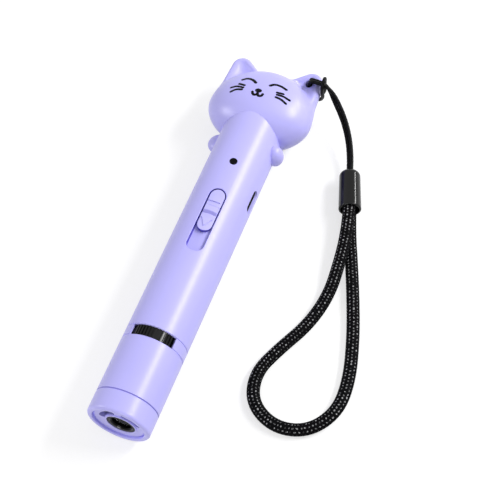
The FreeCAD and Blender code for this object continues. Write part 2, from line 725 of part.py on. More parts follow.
# the neck's slanted end follows the head, which is turned from the barrel's switch line
scarf.setExpression("Placement", swung(-size("barrel_turn")))
scarf_sketch = outline(scarf, "neck_scarf_side", [
    (-12, size("neck_back") - 4),
    (12, size("neck_back") - 4),
    (12, size("neck_back")),
    (-12, size("neck_front")),
], role="YZ_Plane", lift=-12)
scarf_pad = scarf.newObject("PartDesign::Pad", "neck_scarf_pad")
scarf_pad.Profile = scarf_sketch
scarf_pad.Length = 24
neck_round = body("neck_round", None)
nodes.pop("neck_round")
lump(neck_round, "AdditiveCylinder", (0, 0, size("neck_back") - 4), Radius=R, Height=12)
lump(neck_round, "SubtractiveCylinder", (0, 0, size("neck_back") - 5), Radius=tenon - 0.2, Height=14)
trim = neck_round.newObject("PartDesign::Boolean", "neck_trim")
trim.Type = "Common"
trim.setObjects([scarf])
join = barrel.newObject("PartDesign::Boolean", "neck_join")
join.Type = "Fuse"
join.setObjects([neck_round])
recess_middle = size("recess_front") + size("recess_length") / 2
recess_under = size("recess_floor") - size("recess_plate")
block(barrel, "Additive",
      (-size("recess_width") / 2 - 1.2, -(size("recess_floor") + 0.3), size("recess_front") - 1.5),
      (size("recess_width") / 2 + 1.2, -recess_under,
       size("recess_front") + size("recess_length") + 1.5))
# the stops of the slot let the stem travel and no further
stem_slot = size("stem_length") + size("knob_travel") + slide * 2
knob_rest = size("recess_front") + size("recess_length") - slide - size("knob_length") / 2
stem_place = knob_rest + size("stem_shift")
slot_middle_z = stem_place - size("knob_travel") / 2
stadium(barrel, "Subtractive", (0, recess_middle), size("recess_width"), size("recess_length"),
        size("recess_floor"), R + 2, along="face")
round_edges(barrel, "recess_rim", size("edge_round"),
            lambda low, high: low.y < -(size("recess_floor").value + 1) and high.y < -(R.value - 1.2)
            and near(max(abs(low.x), abs(high.x)), size("recess_width") / 2)
            and low.z > size("recess_front").value - 0.1
            and high.z < size("recess_front").value + size("recess_length").value + 0.1)
block(barrel, "Subtractive",
      (-size("stem_half") - slide, -(size("recess_floor") + 1), slot_middle_z - stem_slot / 2),
      (size("stem_half") + slide, -(recess_under - 1), slot_middle_z + stem_slot / 2))
lump(barrel, "SubtractiveCylinder", (0, -(bore - 2), light_place), TO_FACE,
     Radius=size("light_radius") + press, Height=6)
# the ledges that the main board lies on, and the four tongues that hold it down
for side in (-1, 1):
    inner = size("main_board_half") - 0.8
    outer = bore + 0.2
    low_x, high_x = (inner * -1, outer * -1) if side < 0 else (inner, outer)
    left, right = (high_x, low_x) if side < 0 else (low_x, high_x)
    block(barrel, "Additive", (left, -board_under, size("board_front")),
          (right, -board_under + size("ledge_depth"), size("board_back")))
    for start in (size("board_front") + 3, size("board_back") - 11):
        block(barrel, "Additive", (left, -(board_face + size("ledge_depth")), start),
              (right, -board_face, start + 7))
port_place = size("port_place")
stadium(barrel, "Subtractive", (-size("port_offset"), port_place),
        size("port_height") + size("port_clear") * 2, size("port_length") + size("port_clear") * 2,
        bore - 1.5, R + 1)

plug_face = size("tenon_end") - 3
plug = turned("tail_plug", TURNED, [
    (0, size("tenon_end")),
    (tenon_bore - size("tenon_wall"), size("tenon_end")),
    (tenon_bore - size("tenon_wall"), plug_face),
    (tenon_bore - press, plug_face),
    (tenon_bore - press, size("tenon_end")),
    (tenon, size("tenon_end")),
    (tenon, size("tenon_end") + size("plug_thick")),
    (0, size("tenon_end") + size("plug_thick")),
])

# Main board and what is on it
board = body("circuit_board", TURNED)
block(board, "Additive", (-size("main_board_half"), -board_face, size("board_front")),
      (size("main_board_half"), -board_under, size("board_back")))

switch_length = size("knob_travel") + size("lever_length") + slide * 2 + 3
switch_top = board_face + size("switch_height")
switch = body("slide_switch_body", TURNED)
block(switch, "Additive", (-size("switch_half"), -switch_top, slot_middle_z - switch_length / 2),
      (size("switch_half"), -board_face, slot_middle_z + switch_length / 2))
lever_slot = size("knob_travel") + size("lever_length") + slide * 2
block(switch, "Subtractive",
      (-size("lever_half") - slide, -(switch_top + 1), slot_middle_z - lever_slot / 2),
      (size("lever_half") + slide, -(switch_top - 1.5), slot_middle_z + lever_slot / 2))

port = body("usb_socket", TURNED)
port_back = size("port_mouth") - size("port_depth")
stadium(port, "Additive", (-size("port_offset"), port_place), size("port_height"),
        size("port_length"), port_back, size("port_mouth"))
stadium(port, "Subtractive", (-size("port_offset"), port_place),
        size("port_height") - size("port_wall") * 2, size("port_length") - size("port_wall") * 2,
        port_back + 1, size("port_mouth") + 1)
tongue = body("usb_tongue", TURNED)
block(tongue, "Additive",
      (port_back + 1, -size("port_offset") - size("tongue_thick") / 2,
       port_place - size("tongue_length") / 2),
      (size("port_mouth") - 0.8, -size("port_offset") + size("tongue_thick") / 2,
       port_place + size("tongue_length") / 2))

chip = body("indicator_led", TURNED)
block(chip, "Additive", (-0.8, -(board_face + size("chip_height")), light_place - 1),
      (0.8, -board_face, light_place + 1))
lens = body("indicator_lens", TURNED)
light_foot = board_face + size("chip_height") + 0.1
lump(lens, "AdditiveCylinder", (0, -light_foot, light_place), TO_FACE,
     Radius=size("light_radius"), Height=R - size("light_drop") - light_foot)
flange_top = root(bore * bore - size("light_flange") * size("light_flange"))
lump(lens, "AdditiveCylinder", (0, -(flange_top - 0.9), light_place), TO_FACE,
     Radius=size("light_flange"), Height=0.85)

for name, low_x, high_x, start, reach, tall in (
        ("control_chip", -6.0, -2.0, 56.0, 5.0, 1.2),
        ("charge_chip", -5.5, -1.5, 106.5, 5.0, 1.2),
        ("charge_coil", 1.5, 5.5, 106.5, 4.0, 2.2)):
    item = body(name, TURNED)
    block(item, "Additive", (low_x, -(board_face + tall), start), (high_x, -board_face, start + reach))

# Battery and ribbon
cell_radius = size("cell_body_radius")
cell_y = bore - cell_radius - press
cell_front = size("cell_body_front")
cell_back = cell_front + size("cell_body_length")
cell = body("battery_cell", TURNED)
lump(cell, "AdditiveCylinder", (0, cell_y, cell_front), Radius=cell_radius,
     Height=size("cell_body_length"))
pad = body("battery_pad", TURNED)
block(pad, "Additive", (-2.5, -board_under, cell_front + 4),
      (2.5, cell_y - cell_radius - press, cell_back - 4))
for name, start in (("battery_tab_front", cell_front - size("tab_thick")), ("battery_tab_back", cell_back)):
    tab = body(name, TURNED)
    block(tab, "Additive", (-size("tab_half"), -board_under, start),
          (size("tab_half"), cell_y + 1.5, start + size("tab_thick")))

ribbon = body("led_ribbon", TURNED)
ribbon_end = size("board_front") + 1
block(ribbon, "Additive", (-size("ribbon_width") / 2, ribbon_low, lamp_board_back),
      (size("ribbon_width") / 2, ribbon_top, ribbon_end))
block(ribbon, "Additive",
      (-size("ribbon_width") / 2, -board_under, ribbon_end - size("ribbon_thick")),
      (size("ribbon_width") / 2, ribbon_top, ribbon_end))

# Switch knob
knob_low = size("recess_floor") + size("knob_under")
knob = body("switch_knob", TURNED)
stadium(knob, "Additive", (0, knob_rest), size("knob_width"), size("knob_length"), knob_low, R + 1,
        along="face")


def shave(owner, radius, name):
    """Cut away everything outside a radius about the pen axis."""
    cut_sketch = outline(owner, name, [
        (radius, size("recess_front") - 5),
        (R + 5, size("recess_front") - 5),
        (R + 5, size("recess_front") + size("recess_length") + 5),
        (radius, size("recess_front") + size("recess_length") + 5),
    ])
    cut = owner.newObject("PartDesign::Groove", name + "_cut")
    cut.Profile = cut_sketch
    cut.ReferenceAxis = (cut_sketch, ["V_Axis"])
    cut.Angle = 360
    return cut


shave(knob, size("knob_top"), "knob_face")
# the face lies on a cylinder, so its edge's middle is higher than its sides
round_edges(knob, "knob_rim", size("edge_round"),
            lambda low, high: low.y < -(size("knob_top").value - 1.2)
            and high.y < -(knob_low.value + 0.6))
for side in (-1, 1):
    place = knob_rest + size("knob_rib_place") * side
    block(knob, "Additive", (-size("knob_width") / 2 + 0.45, -(R + 1), place - size("knob_rib") / 2),
          (size("knob_width") / 2 - 0.45, -knob_low - 0.5, place + size("knob_rib") / 2))
    prism = lump(knob, "AdditivePrism", (0, -knob_low - 0.5, knob_rest + size("arrow_place") * side),
                 Rotation(Vector(1, 0, 0), 90).multiply(Rotation(Vector(0, 0, 1), 90 * side)),
                 Circumradius=size("arrow_radius"), Height=3)
    prism.Polygon = 3
shave(knob, size("knob_relief"), "knob_ribs")
# the finger ridge across the knob's middle, with sloping sides
ridge_half = size("knob_width") / 2 - size("ridge_margin")
ridge_section = outline(knob, "finger_ridge_section", [
    (-(knob_low + 0.5), knob_rest - size("ridge_foot")),
    (-(knob_low + 0.5), knob_rest + size("ridge_foot")),
    (-size("knob_top") + 0.1, knob_rest + size("ridge_foot")),
    (-size("ridge_top") - 0.1, knob_rest + size("ridge_crest")),
    (-size("ridge_top") - 0.1, knob_rest - size("ridge_crest")),
    (-size("knob_top") + 0.1, knob_rest - size("ridge_foot")),
], role="YZ_Plane", lift=-ridge_half)
ridge = knob.newObject("PartDesign::Pad", "finger_ridge")
ridge.Profile = ridge_section
ridge.setExpression("Length", (ridge_half * 2).text)
shave(knob, size("ridge_top"), "knob_ridge")
block(knob, "Additive", (-size("stem_half"), -knob_low - 0.5, stem_place - size("stem_length") / 2),
      (size("stem_half"), -size("stem_end"), stem_place + size("stem_length") / 2))
block(knob, "Subtractive",
      (-size("lever_half") - press, -size("lever_top") - 0.1, stem_place - size("lever_length") / 2 - press),
      (size("lever_half") + press, -size("stem_end") + 1, stem_place + size("lever_length") / 2 + press))
retainer_top = recess_under - slide
retainer = body("switch_retainer", TURNED)
block(retainer, "Additive",
      (-size("retainer_half"), -retainer_top, stem_place - size("retainer_length") / 2),
      (size("retainer_half"), -(retainer_top - size("retainer_thick")),
       stem_place + size("retainer_length") / 2))
block(retainer, "Subtractive",
      (-size("stem_half") - press, -R, stem_place - size("stem_length") / 2 - press),
      (size("stem_half") + press, -1, stem_place + size("stem_length") / 2 + press))
lever = body("switch_lever", TURNED)
block(lever, "Additive",
      (-size("lever_half"), -size("lever_top"), stem_place - size("lever_length") / 2),
      (size("lever_half"), -(switch_top - 1.5 + slide), stem_place + size("lever_length") / 2))

# Head shells
head_middle = size("head_middle")
forward = size("head_forward")
head_aside = size("head_aside")


def form(kind, name, at=(0, 0, 0), turn=None, **sizes):
    """A stand-alone form for the head's booleans."""
    made = doc.addObject("Part::" + kind, name)
    bind(made, **sizes)
    put(made, at, turn)
    return made


def egg(name, shrink):
    """The head's rounded form, taller above its widest part than below."""
    halves = []
    for part, height, low, high in (("upper", size("head_above"), 0, 90),
                                    ("lower", size("head_below"), -90, 0)):
        half = form("Ellipsoid", "%s_%s" % (name, part), (head_aside, -forward, head_middle),
                    Radius1=height - shrink, Radius2=size("head_half_width") - shrink,
                    Radius3=size("head_half_depth") - shrink)
        half.Angle1 = low
        half.Angle2 = high
        halves.append(half)
    whole = doc.addObject("Part::MultiFuse", name)
    whole.Shapes = halves
    return whole


def cut(name, base, tool):
    """A form with another form cut away."""
    made = doc.addObject("Part::Cut", name)
    made.Base = base
    made.Tool = tool
    made.Refine = False
    return made


def fuse(name, parts):
    """Several forms joined."""
    made = doc.addObject("Part::MultiFuse", name)
    made.Shapes = parts
    made.Refine = False
    return made


head_egg = egg("head_egg", as_size(0))
rest_block = form("Box", "rest_block", (-40, R, size("neck_back") - 20), Length=80, Width=20, Height=80)
head_flat = cut("head_flat", head_egg, rest_block)
hump = form("Cylinder", "neck_hump", (0, 0, size("neck_back") - 2), Radius=R,
            Height=size("hump_end") - size("neck_back") + 2)

ear_tip_z = size("ear_top") - size("ear_tip_round")
ear_tip_x = size("head_half_width") - size("ear_tip_in")
ear_hole_x = size("head_half_width") + head_aside - size("ear_hole_in")
tip_reach = size("ear_tip_round") / 0.4485
ears = []
for side, name in ((-1, "ear_left"), (1, "ear_right")):
    ear = doc.addObject("PartDesign::Body", name)
    tip_out = ear_tip_x + tip_reach * 0.3964
    tip_x = tip_out * side + head_aside
    tip_z = ear_tip_z + tip_reach * 0.9181
    corners = [
        (tip_x - 13.0 * side, tip_z - 10.9),
        (tip_x, tip_z),
        (tip_x + 1.38 * side, tip_z - 24.0),
        (ear_hole_x * 0.83 * side, head_middle + 1.7),
    ]
    ear_sketch = outline(ear, name + "_side", corners,
                         lift=size("ear_forward") - size("ear_thick") / 2)
    ear_pad = ear.newObject("PartDesign::Pad", name + "_pad")
    ear_pad.Profile = ear_sketch
    ear_pad.setExpression("Length", size("ear_thick").text)
    doc.recompute()
    picked = []
    for number, edge in enumerate(ear_pad.Shape.Edges, 1):
        ends = [v.Point for v in edge.Vertexes]
        if all(abs(p.x - tip_x.value) < 0.01 and abs(p.z - tip_z.value) < 0.01 for p in ends):
            picked.append("Edge%d" % number)
    tip = ear.newObject("PartDesign::Fillet", name + "_tip")
    tip.Base = (ear_pad, picked)
    tip.setExpression("Radius", size("ear_tip_round").text)
    doc.recompute()
    picked = []
    for number, edge in enumerate(tip.Shape.Edges, 1):
        depths = [v.Point.y for v in edge.Vertexes]
        highs = [v.Point.z for v in edge.Vertexes]
        flat = max(depths) - min(depths) < 0.01
        if flat and max(highs) > head_middle.value + 6:
            picked.append("Edge%d" % number)
    edges = ear.newObject("PartDesign::Fillet", name + "_edges")
    edges.Base = (tip, picked)
    edges.setExpression("Radius", size("ear_round").text)
    doc.recompute()
    ears.append(ear)

head_solid = fuse("head_solid", [head_flat, hump] + ears)
cavity_egg = egg("head_cavity_egg", size("head_wall"))
socket = form("Cylinder", "neck_socket", (0, 0, size("neck_back") - 20),
              Radius=tenon + size("socket_wall"),
              Height=size("tenon_end") + size("plug_thick") - size("neck_back") + 20.5)
cavity = cut("head_cavity", cavity_egg, socket)
head_hollow = cut("head_hollow", head_solid, cavity)
fit = press
# the half millimetre past the neck's 24 mm, along the same slope
past_slope = (size("neck_front") - size("neck_back")) / 48
neck_side = doc.addObject("PartDesign::Body", "neck_cut_side")
neck_side_sketch = outline(neck_side, "neck_cut_section", [
    (-12.5, size("neck_back") - 30),
    (12.5, size("neck_back") - 30),
    (12.5, size("neck_back") - past_slope),
    (-12.5, size("neck_front") + past_slope),
], role="YZ_Plane", lift=-12.5)
neck_side_pad = neck_side.newObject("PartDesign::Pad", "neck_cut_pad")
neck_side_pad.Profile = neck_side_sketch
neck_side_pad.Length = 25
neck_bar = form("Cylinder", "neck_cut_bar", (0, 0, size("neck_back") - 29), Radius=R + fit, Height=45)
neck_cut = doc.addObject("Part::Common", "neck_cut")
neck_cut.Base = neck_bar
neck_cut.Tool = neck_side
tenon_cut = form("Cylinder", "tenon_cut", (0, 0, size("neck_back") - 10), Radius=tenon + fit,
                 Height=size("tenon_end") + size("plug_thick") + fit - size("neck_back") + 10)
head_open = cut("head_open", cut("head_necked", head_hollow, neck_cut), tenon_cut)
scooped = head_open
for side, name in ((-1, "left"), (1, "right")):
    scoop = form("Ellipsoid", "ear_scoop_" + name,
                 (ear_tip_x * side - 0.7 * side + head_aside, -size("scoop_out"), ear_tip_z - 1.5),
                 Rotation(Vector(0, 1, 0), 12.0 * side),
                 Radius1=size("scoop_half_length"), Radius2=size("scoop_half_width"),
                 Radius3=size("scoop_half_depth"))
    scooped = cut("head_scooped_" + name, scooped, scoop)
ear_hole = form("Cylinder", "ear_hole",
                (ear_hole_x, 10, size("ear_top") - size("ear_hole_drop")), TO_FACE,
                Radius=size("ear_hole_radius"), Height=20)
head_done = cut("head_done", scooped, ear_hole)
front_half = form("Box", "front_half", (-40, -40, size("neck_back") - 40), Length=80, Width=40, Height=100)
back_half = form("Box", "back_half", (-40, 0, size("neck_back") - 40), Length=80, Width=40, Height=100)
for name, half in (("head_front_shell", front_half), ("head_back_shell", back_half)):
    shell = doc.addObject("Part::Common", name + "_form")
    shell.Base = head_done
    shell.Tool = half
    keep(name, shell, LAID_DOWN)

for name, paw_side in (("paw_left", "left_paw"), ("paw_right", "right_paw")):
    angle = size(paw_side + "_angle")
    paw_form = form("Ellipsoid", name + "_round", (R * sine(angle), -(R * cosine(angle)), size("paw_place")),
                    Rotation(Vector(0, 0, 1), angle.value - 90),
                    Radius1=size(paw_side + "_half_length"), Radius2=size(paw_side + "_out"),
                    Radius3=size(paw_side + "_half_width"))
    seat = form("Cylinder", name + "_seat", (0, 0, size("paw_place") - 10), Radius=R + press, Height=20)
    paw = cut(name + "_form", paw_form, seat)
    keep(name, paw, LAID_DOWN)

doc.recompute()

# Lanyard
BEAD_TOP = Vector(37.2, 43.3, 4.1)
BEAD_WAY = Vector(6.27, -18.35, 0).normalize()
bead = body("lanyard_bead", None)
bead_section = outline(bead, "bead_section", [
    (size("bead_eye"), 0.0),
    (size("bead_top_radius"), 0.0),
    (size("bead_foot_radius"), size("bead_length")),
    (size("bead_bore"), size("bead_length")),
    (size("bead_bore"), size("bead_neck") + 1.8),
    (size("bead_eye"), size("bead_neck")),
])
bead_spin = bead.newObject("PartDesign::Revolution", "bead_spin")
bead_spin.Profile = bead_section
bead_spin.ReferenceAxis = (bead_section, ["V_Axis"])
bead_spin.Angle = 360
round_edges(bead, "bead_dome", size("bead_dome_round"), ring_at(size("bead_top_radius"), 0))
round_edges(bead, "bead_foot", size("bead_foot_round"),
            ring_at(size("bead_foot_radius") + 0.2, size("bead_length")))
ALONG_BEAD = Placement(BEAD_TOP, Rotation(Vector(0, 0, 1), BEAD_WAY))
nodes["lanyard_bead"] = (bead, ALONG_BEAD)
# the crimped joint inside the bead, where the thin tether ends and the wrist cord's legs begin
turned("lanyard_core", ALONG_BEAD, [
    (0, size("core_front")),
    (size("bead_eye") - press, size("core_front")),
    (size("bead_eye") - press, size("bead_neck") + press),
    (size("bead_bore") - press, size("bead_neck") + 1.8 + press),
    (size("bead_bore") - press, size("core_back")),
    (0, size("core_back")),
])


def rounded_path(points, name, least):
    """Straight runs joined by tangent arcs; prints the radii and returns the wire and its length."""
    points = [Vector(*p) for p in points]
    edges = []
    start = points[0]
    radii = []
    for before, corner, after in zip(points, points[1:], points[2:]):
        back, ahead = before.sub(corner), after.sub(corner)
        run = 0.45 * min(back.Length, ahead.Length)
        back.normalize()
        ahead.normalize()
        turn = math.pi - back.getAngle(ahead)
        radius = run / math.tan(turn / 2)
        first = corner.add(back.multiply(run))
        last = corner.add(ahead.multiply(run))
        toward = first.add(last).multiply(0.5).sub(corner)
        reach = radius / math.cos(turn / 2) - radius
        middle = corner.add(toward.normalize().multiply(reach))
        edges.append(Part.LineSegment(start, first).toShape())
        edges.append(Part.Arc(first, middle, last).toShape())
        radii.append(radius)
        start = last
    edges.append(Part.LineSegment(start, points[-1]).toShape())
    wire = Part.Wire(edges)
    runs = [round(b.sub(a).Length, 1) for a, b in zip(points, points[1:])]
    print(name, "length", round(wire.Length, 1), "least radius", round(min(radii), 2), "wanted", least,
          "radii", [round(r, 1) for r in radii], "runs", runs)
    return wire


# Both strands of the thin tether leave the bead's eye side by side, pass over the ear into the
# lanyard hole, and their bight comes round behind the ear and crosses in front of them.
ear_y = size("ear_top").value - size("ear_hole_drop").value - half_length.value
ear_x = ear_hole_x.value
inside = BEAD_TOP.add(Vector(BEAD_WAY).multiply(size("core_front").value))
TETHER_WAY = [
    ("bead eye", 37.2, 43.3, 4.1),
    ("on the way down", 35.2, 49.8, 4.7),
    ("on the way down", 32.4, 56.4, 6.5),
    ("on the way down", 28.4, 62.6, 9.0),
    ("leaves the ear", 23.2, 67.8, 12.1),
]
tether_centre = [inside] + [Vector(x, y, z) for _, x, y, z in TETHER_WAY]


def strand(shift):
    """One strand beside the tether's centre line, shifted sideways and up."""
    points = []
    for index, point in enumerate(tether_centre):
        ahead = tether_centre[min(index + 1, len(tether_centre) - 1)]
        behind = tether_centre[max(index - 1, 0)]
        way = ahead.sub(behind)
        across = Vector(-way.y, way.x, 0).normalize()
        points.append(point.add(across.multiply(-0.57 * shift)).add(Vector(0, 0, 0.51 * shift)))
    return [(p.x, p.y, p.z) for p in points]


upper = strand(1)
lower = strand(-1)
HITCH = [
    ("outside the ear", 20.6, ear_y - 1.9, 14.3),
    ("over the rim", 17.6, ear_y - 1.0, 16.25),
    ("before the hole", 14.6, ear_y - 0.8, 16.6),
    ("into the hole", ear_x, ear_y - 0.74, 14.6),
    ("out of the back", ear_x, ear_y - 0.74, 6.9),
    ("behind the ear", 14.8, ear_y - 1.8, 5.6),
    ("behind the edge", 17.4, ear_y - 1.6, 6.9),
    ("outside the edge", 18.4, ear_y - 2.5, 11.0),
    ("bight, lower end", 18.9, ear_y - 3.0, 14.7),
    ("bight, over the strands", 18.8, ear_y - 1.3, 17.3),
    ("bight, upper end", 18.5, ear_y + 1.0, 16.4),
    ("outside the edge", 18.1, ear_y + 2.2, 13.4),
    ("behind the edge", 17.8, ear_y + 2.5, 9.6),
    ("behind the edge", 16.8, ear_y + 2.2, 6.3),
    ("behind the ear", 14.2, ear_y + 1.7, 5.5),
    ("out of the back", ear_x, ear_y + 0.74, 6.9),
    ("into the hole", ear_x, ear_y + 0.74, 13.8),
    ("before the hole", 14.2, ear_y + 0.4, 15.45),
    ("over the rim", 17.2, ear_y - 0.3, 15.05),
    ("outside the ear", 20.3, ear_y - 1.2, 12.9),
]
tether_points = upper + [(x, y, z) for _, x, y, z in HITCH] + lower[::-1]
tether_wire = rounded_path(tether_points, "tether_cord", 2.1)
tether_radius = size("tether_radius").value


def tube(wire, radius):
    """A round tube along a path of lines and arcs."""
    first = wire.OrderedEdges[0] if hasattr(wire, "OrderedEdges") else wire.Edges[0]
    way = first.tangentAt(first.FirstParameter)
    ring = Part.Wire([Part.makeCircle(radius, wire.OrderedVertexes[0].Point, way)])
    return wire.makePipeShell([ring], True, False)


def ribbon_tube(wire, half_wide, half_thick):
    """A flat oval tube along a path, kept level."""
    first = wire.OrderedEdges[0]
    start = wire.OrderedVertexes[0].Point
    way = first.tangentAt(first.FirstParameter)
    across = Vector(0, 0, 1).cross(way).normalize()
    up = way.cross(across)
    oval = Part.Ellipse(start.add(Vector(across).multiply(half_wide)),
                        start.add(Vector(up).multiply(half_thick)), start)
    shell = Part.BRepOffsetAPI.MakePipeShell(wire)
    shell.setBiNormalMode(Vector(0, 0, 1))
    shell.add(Part.Wire([oval.toShape()]))
    shell.build()
    shell.makeSolid()
    return shell.shape()


def keep_cord(name, solid, section, length):
    """Register a cord's solid and compare its volume with its section times its length."""
    if solid.Volume < 0:
        solid.reverse()
    made = doc.addObject("Part::Feature", name + "_form")
    made.Shape = solid
    print(name, "volume", round(solid.Volume, 1), "section x length", round(section * length, 1))
    keep(name, made, None)


tether_solid = tube(tether_wire, tether_radius)
keep_cord("tether_cord", tether_solid, math.pi * tether_radius ** 2, tether_wire.Length)

# The flat braided wrist cord leaves the bead's mouth as two legs, one lying on the other.
mouth_in = BEAD_TOP.add(Vector(BEAD_WAY).multiply(size("core_back").value))
mouth = BEAD_TOP.add(Vector(BEAD_WAY).multiply(size("bead_length").value - 0.4))
thick = size("loop_half_thick").value
floor_z = thick + 0.05
over_z = BEAD_TOP.z + thick + 0.02
under_z = BEAD_TOP.z - thick - 0.02
WRIST_WAY = [
    ("upper leg, on the lower one", 45.0, 16.4, 5.0),
    ("upper leg comes off it", 46.1, 6.2, 4.3),
    ("upper leg, down", 46.3, -5.4, floor_z),
    ("left side", 43.6, -18.6, floor_z),
    ("left side", 37.3, -30.6, floor_z),
    ("left hollow", 32.9, -41.2, floor_z),
    ("left of the foot", 35.6, -52.0, floor_z),
    ("foot", 45.6, -58.0, floor_z),
    ("foot", 56.6, -56.0, floor_z),
    ("right of the foot", 63.4, -46.6, floor_z),
    ("right side", 63.4, -34.2, floor_z),
    ("right side", 59.4, -18.6, floor_z),
    ("right side", 54.2, -3.6, floor_z),
    ("lower leg", 48.9, 10.2, floor_z),
    ("lower leg", 45.6, 18.4, floor_z + 0.2),
]
wrist_points = [tuple(mouth_in.add(Vector(0, 0, thick + 0.02)))]
wrist_points.append((mouth.x, mouth.y, over_z))
wrist_points += [(x, y, z) for _, x, y, z in WRIST_WAY]
wrist_points.append((mouth.x, mouth.y, under_z))
wrist_points.append(tuple(mouth_in.sub(Vector(0, 0, thick + 0.02))))
wrist_wire = rounded_path(wrist_points, "wrist_loop", 11.0)
half_wide = size("loop_half_width").value
wrist_solid = ribbon_tube(wrist_wire, half_wide, thick)
keep_cord("wrist_loop", wrist_solid, math.pi * half_wide * thick, wrist_wire.Length)

# Lay down, test and write
for name, (target, placement) in nodes.items():
    if isinstance(placement, str):
        target.setExpression("Placement", placement)
    elif placement is not None:
        target.Placement = placement
doc.recompute()
faults = []
for item in doc.Objects:
    if "Invalid" in item.State or "Error" in item.State:
        faults.append("%s (%s)" % (item.Label, item.State))
for name, (target, placement) in nodes.items():
    shape = target.Shape
    if shape.isNull() or not shape.isValid() or len(shape.Solids) != 1 or shape.Volume <= 0:
        faults.append("%s shape: %d solids" % (name, 0 if shape.isNull() else len(shape.Solids)))
if faults:
    raise RuntimeError("faulty pieces: " + "; ".join(faults))
os.makedirs("parts", exist_ok=True)
for name, (target, placement) in nodes.items():
    target.Shape.exportStep("parts/%s.step" % name)
print(len(nodes), "pieces written")
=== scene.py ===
"""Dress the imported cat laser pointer: studio, lanyard, cat head, face marks and a finish for every piece.

The lanyard, the head and the face are measured in millimetres, and the finishes, the lamps and the
camera in metres.
"""

import logging
import math
from dataclasses import dataclass, field
from enum import Enum
from typing import Callable, Iterable, Sequence

import bmesh
import bpy
import numpy as np
from mathutils import Matrix, Vector
from mathutils.bvhtree import BVHTree

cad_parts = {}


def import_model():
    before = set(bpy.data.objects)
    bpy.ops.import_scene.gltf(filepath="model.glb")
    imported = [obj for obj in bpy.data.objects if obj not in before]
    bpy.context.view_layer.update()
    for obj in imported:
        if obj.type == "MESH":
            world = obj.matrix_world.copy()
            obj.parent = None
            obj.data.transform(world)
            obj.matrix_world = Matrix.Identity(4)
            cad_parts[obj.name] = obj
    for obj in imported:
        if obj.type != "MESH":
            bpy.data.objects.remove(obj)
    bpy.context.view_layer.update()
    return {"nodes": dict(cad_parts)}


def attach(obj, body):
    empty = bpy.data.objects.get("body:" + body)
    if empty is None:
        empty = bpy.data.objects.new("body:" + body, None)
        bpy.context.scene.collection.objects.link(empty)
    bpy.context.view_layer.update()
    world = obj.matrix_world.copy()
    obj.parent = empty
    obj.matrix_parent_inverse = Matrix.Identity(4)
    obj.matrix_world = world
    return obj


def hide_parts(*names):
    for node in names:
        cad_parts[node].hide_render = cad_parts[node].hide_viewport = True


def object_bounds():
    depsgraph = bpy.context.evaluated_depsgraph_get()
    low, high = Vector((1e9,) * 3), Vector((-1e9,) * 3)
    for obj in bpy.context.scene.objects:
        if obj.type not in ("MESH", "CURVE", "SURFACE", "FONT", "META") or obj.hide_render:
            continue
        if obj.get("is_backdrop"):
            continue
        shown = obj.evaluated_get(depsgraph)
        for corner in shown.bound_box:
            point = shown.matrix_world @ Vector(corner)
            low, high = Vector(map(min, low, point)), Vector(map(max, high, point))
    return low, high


MM = 0.001
BODY = "pen"
# Where the values of a cloudy pattern mostly lie, and white as the brightest colour on a screen.
CLOUD = (0.3, 0.7)
WHITE = 255.0
Point = tuple[float, float, float]
Shade = tuple[float, float, float, float]
log = logging.getLogger("cat_laser_pointer")


# Workbench


def linear(colour: Point) -> Shade:
    """Turn a colour as seen on a screen, 0 to 255, into the shader's own.

    Args:
        colour: red, green and blue, 0 to 255.

    Returns:
        Red, green, blue and a full alpha.
    """
    def one(part: float) -> float:
        """One channel, straightened."""
        part = part / WHITE
        return part / 12.92 if part <= 0.04045 else ((part + 0.055) / 1.055) ** 2.4
    return (*(one(part) for part in colour), 1.0)


def tint(colour: Point, factor: float) -> Shade:
    """A screen colour made lighter or darker by a factor, in the shader's own values."""
    return linear(tuple(min(WHITE, part * factor) for part in colour))


def take(obj: bpy.types.Object) -> bpy.types.Object:
    """Make one object the selected and active one.

    Args:
        obj: the object to work on.

    Returns:
        The same object.
    """
    bpy.ops.object.select_all(action="DESELECT")
    obj.select_set(True)
    bpy.context.view_layer.objects.active = obj
    return obj


def settle(obj: bpy.types.Object) -> bpy.types.Object:
    """Put an object's place into its mesh in metres, and leave the object at the origin.

    Args:
        obj: the object, modelled in millimetres.

    Returns:
        The same object.
    """
    bpy.context.view_layer.update()
    obj.data.transform(Matrix.Scale(MM, 4) @ obj.matrix_world)
    obj.matrix_world = Matrix.Identity(4)
    return obj


def apply_modifiers(obj: bpy.types.Object) -> None:
    """Apply an object's modifiers in their order.

    Args:
        obj: the object that has them.
    """
    take(obj)
    for name in [modifier.name for modifier in obj.modifiers]:
        bpy.ops.object.modifier_apply(modifier=name)


def pick(obj: bpy.types.Object, wanted: Callable[[Vector], bool]) -> None:
    """Select the faces of the object in edit mode that a test picks.

    Args:
        obj: the object in edit mode.
        wanted: takes a face's normal.
    """
    bpy.ops.mesh.select_mode(type="FACE")
    bpy.ops.mesh.select_all(action="DESELECT")
    faces = bmesh.from_edit_mesh(obj.data)
    for face in faces.faces:
        face.select_set(wanted(face.normal))
    bmesh.update_edit_mesh(obj.data)


def rod(radius: float, span: tuple[float, float], height: float, sides: int) -> bpy.types.Object:
    """Add a round bar that lies along the pen.

    Args:
        radius: its radius.
        span: the two y at which it starts and ends.
        height: how high its axis lies.
        sides: how many sides stand for the round.

    Returns:
        The bar.
    """
    start, end = span
    bpy.ops.mesh.primitive_cylinder_add(vertices=sides, radius=radius, depth=end - start,
                                        location=(0, (start + end) / 2, height),
                                        rotation=(math.pi / 2, 0, 0))
    return bpy.context.active_object


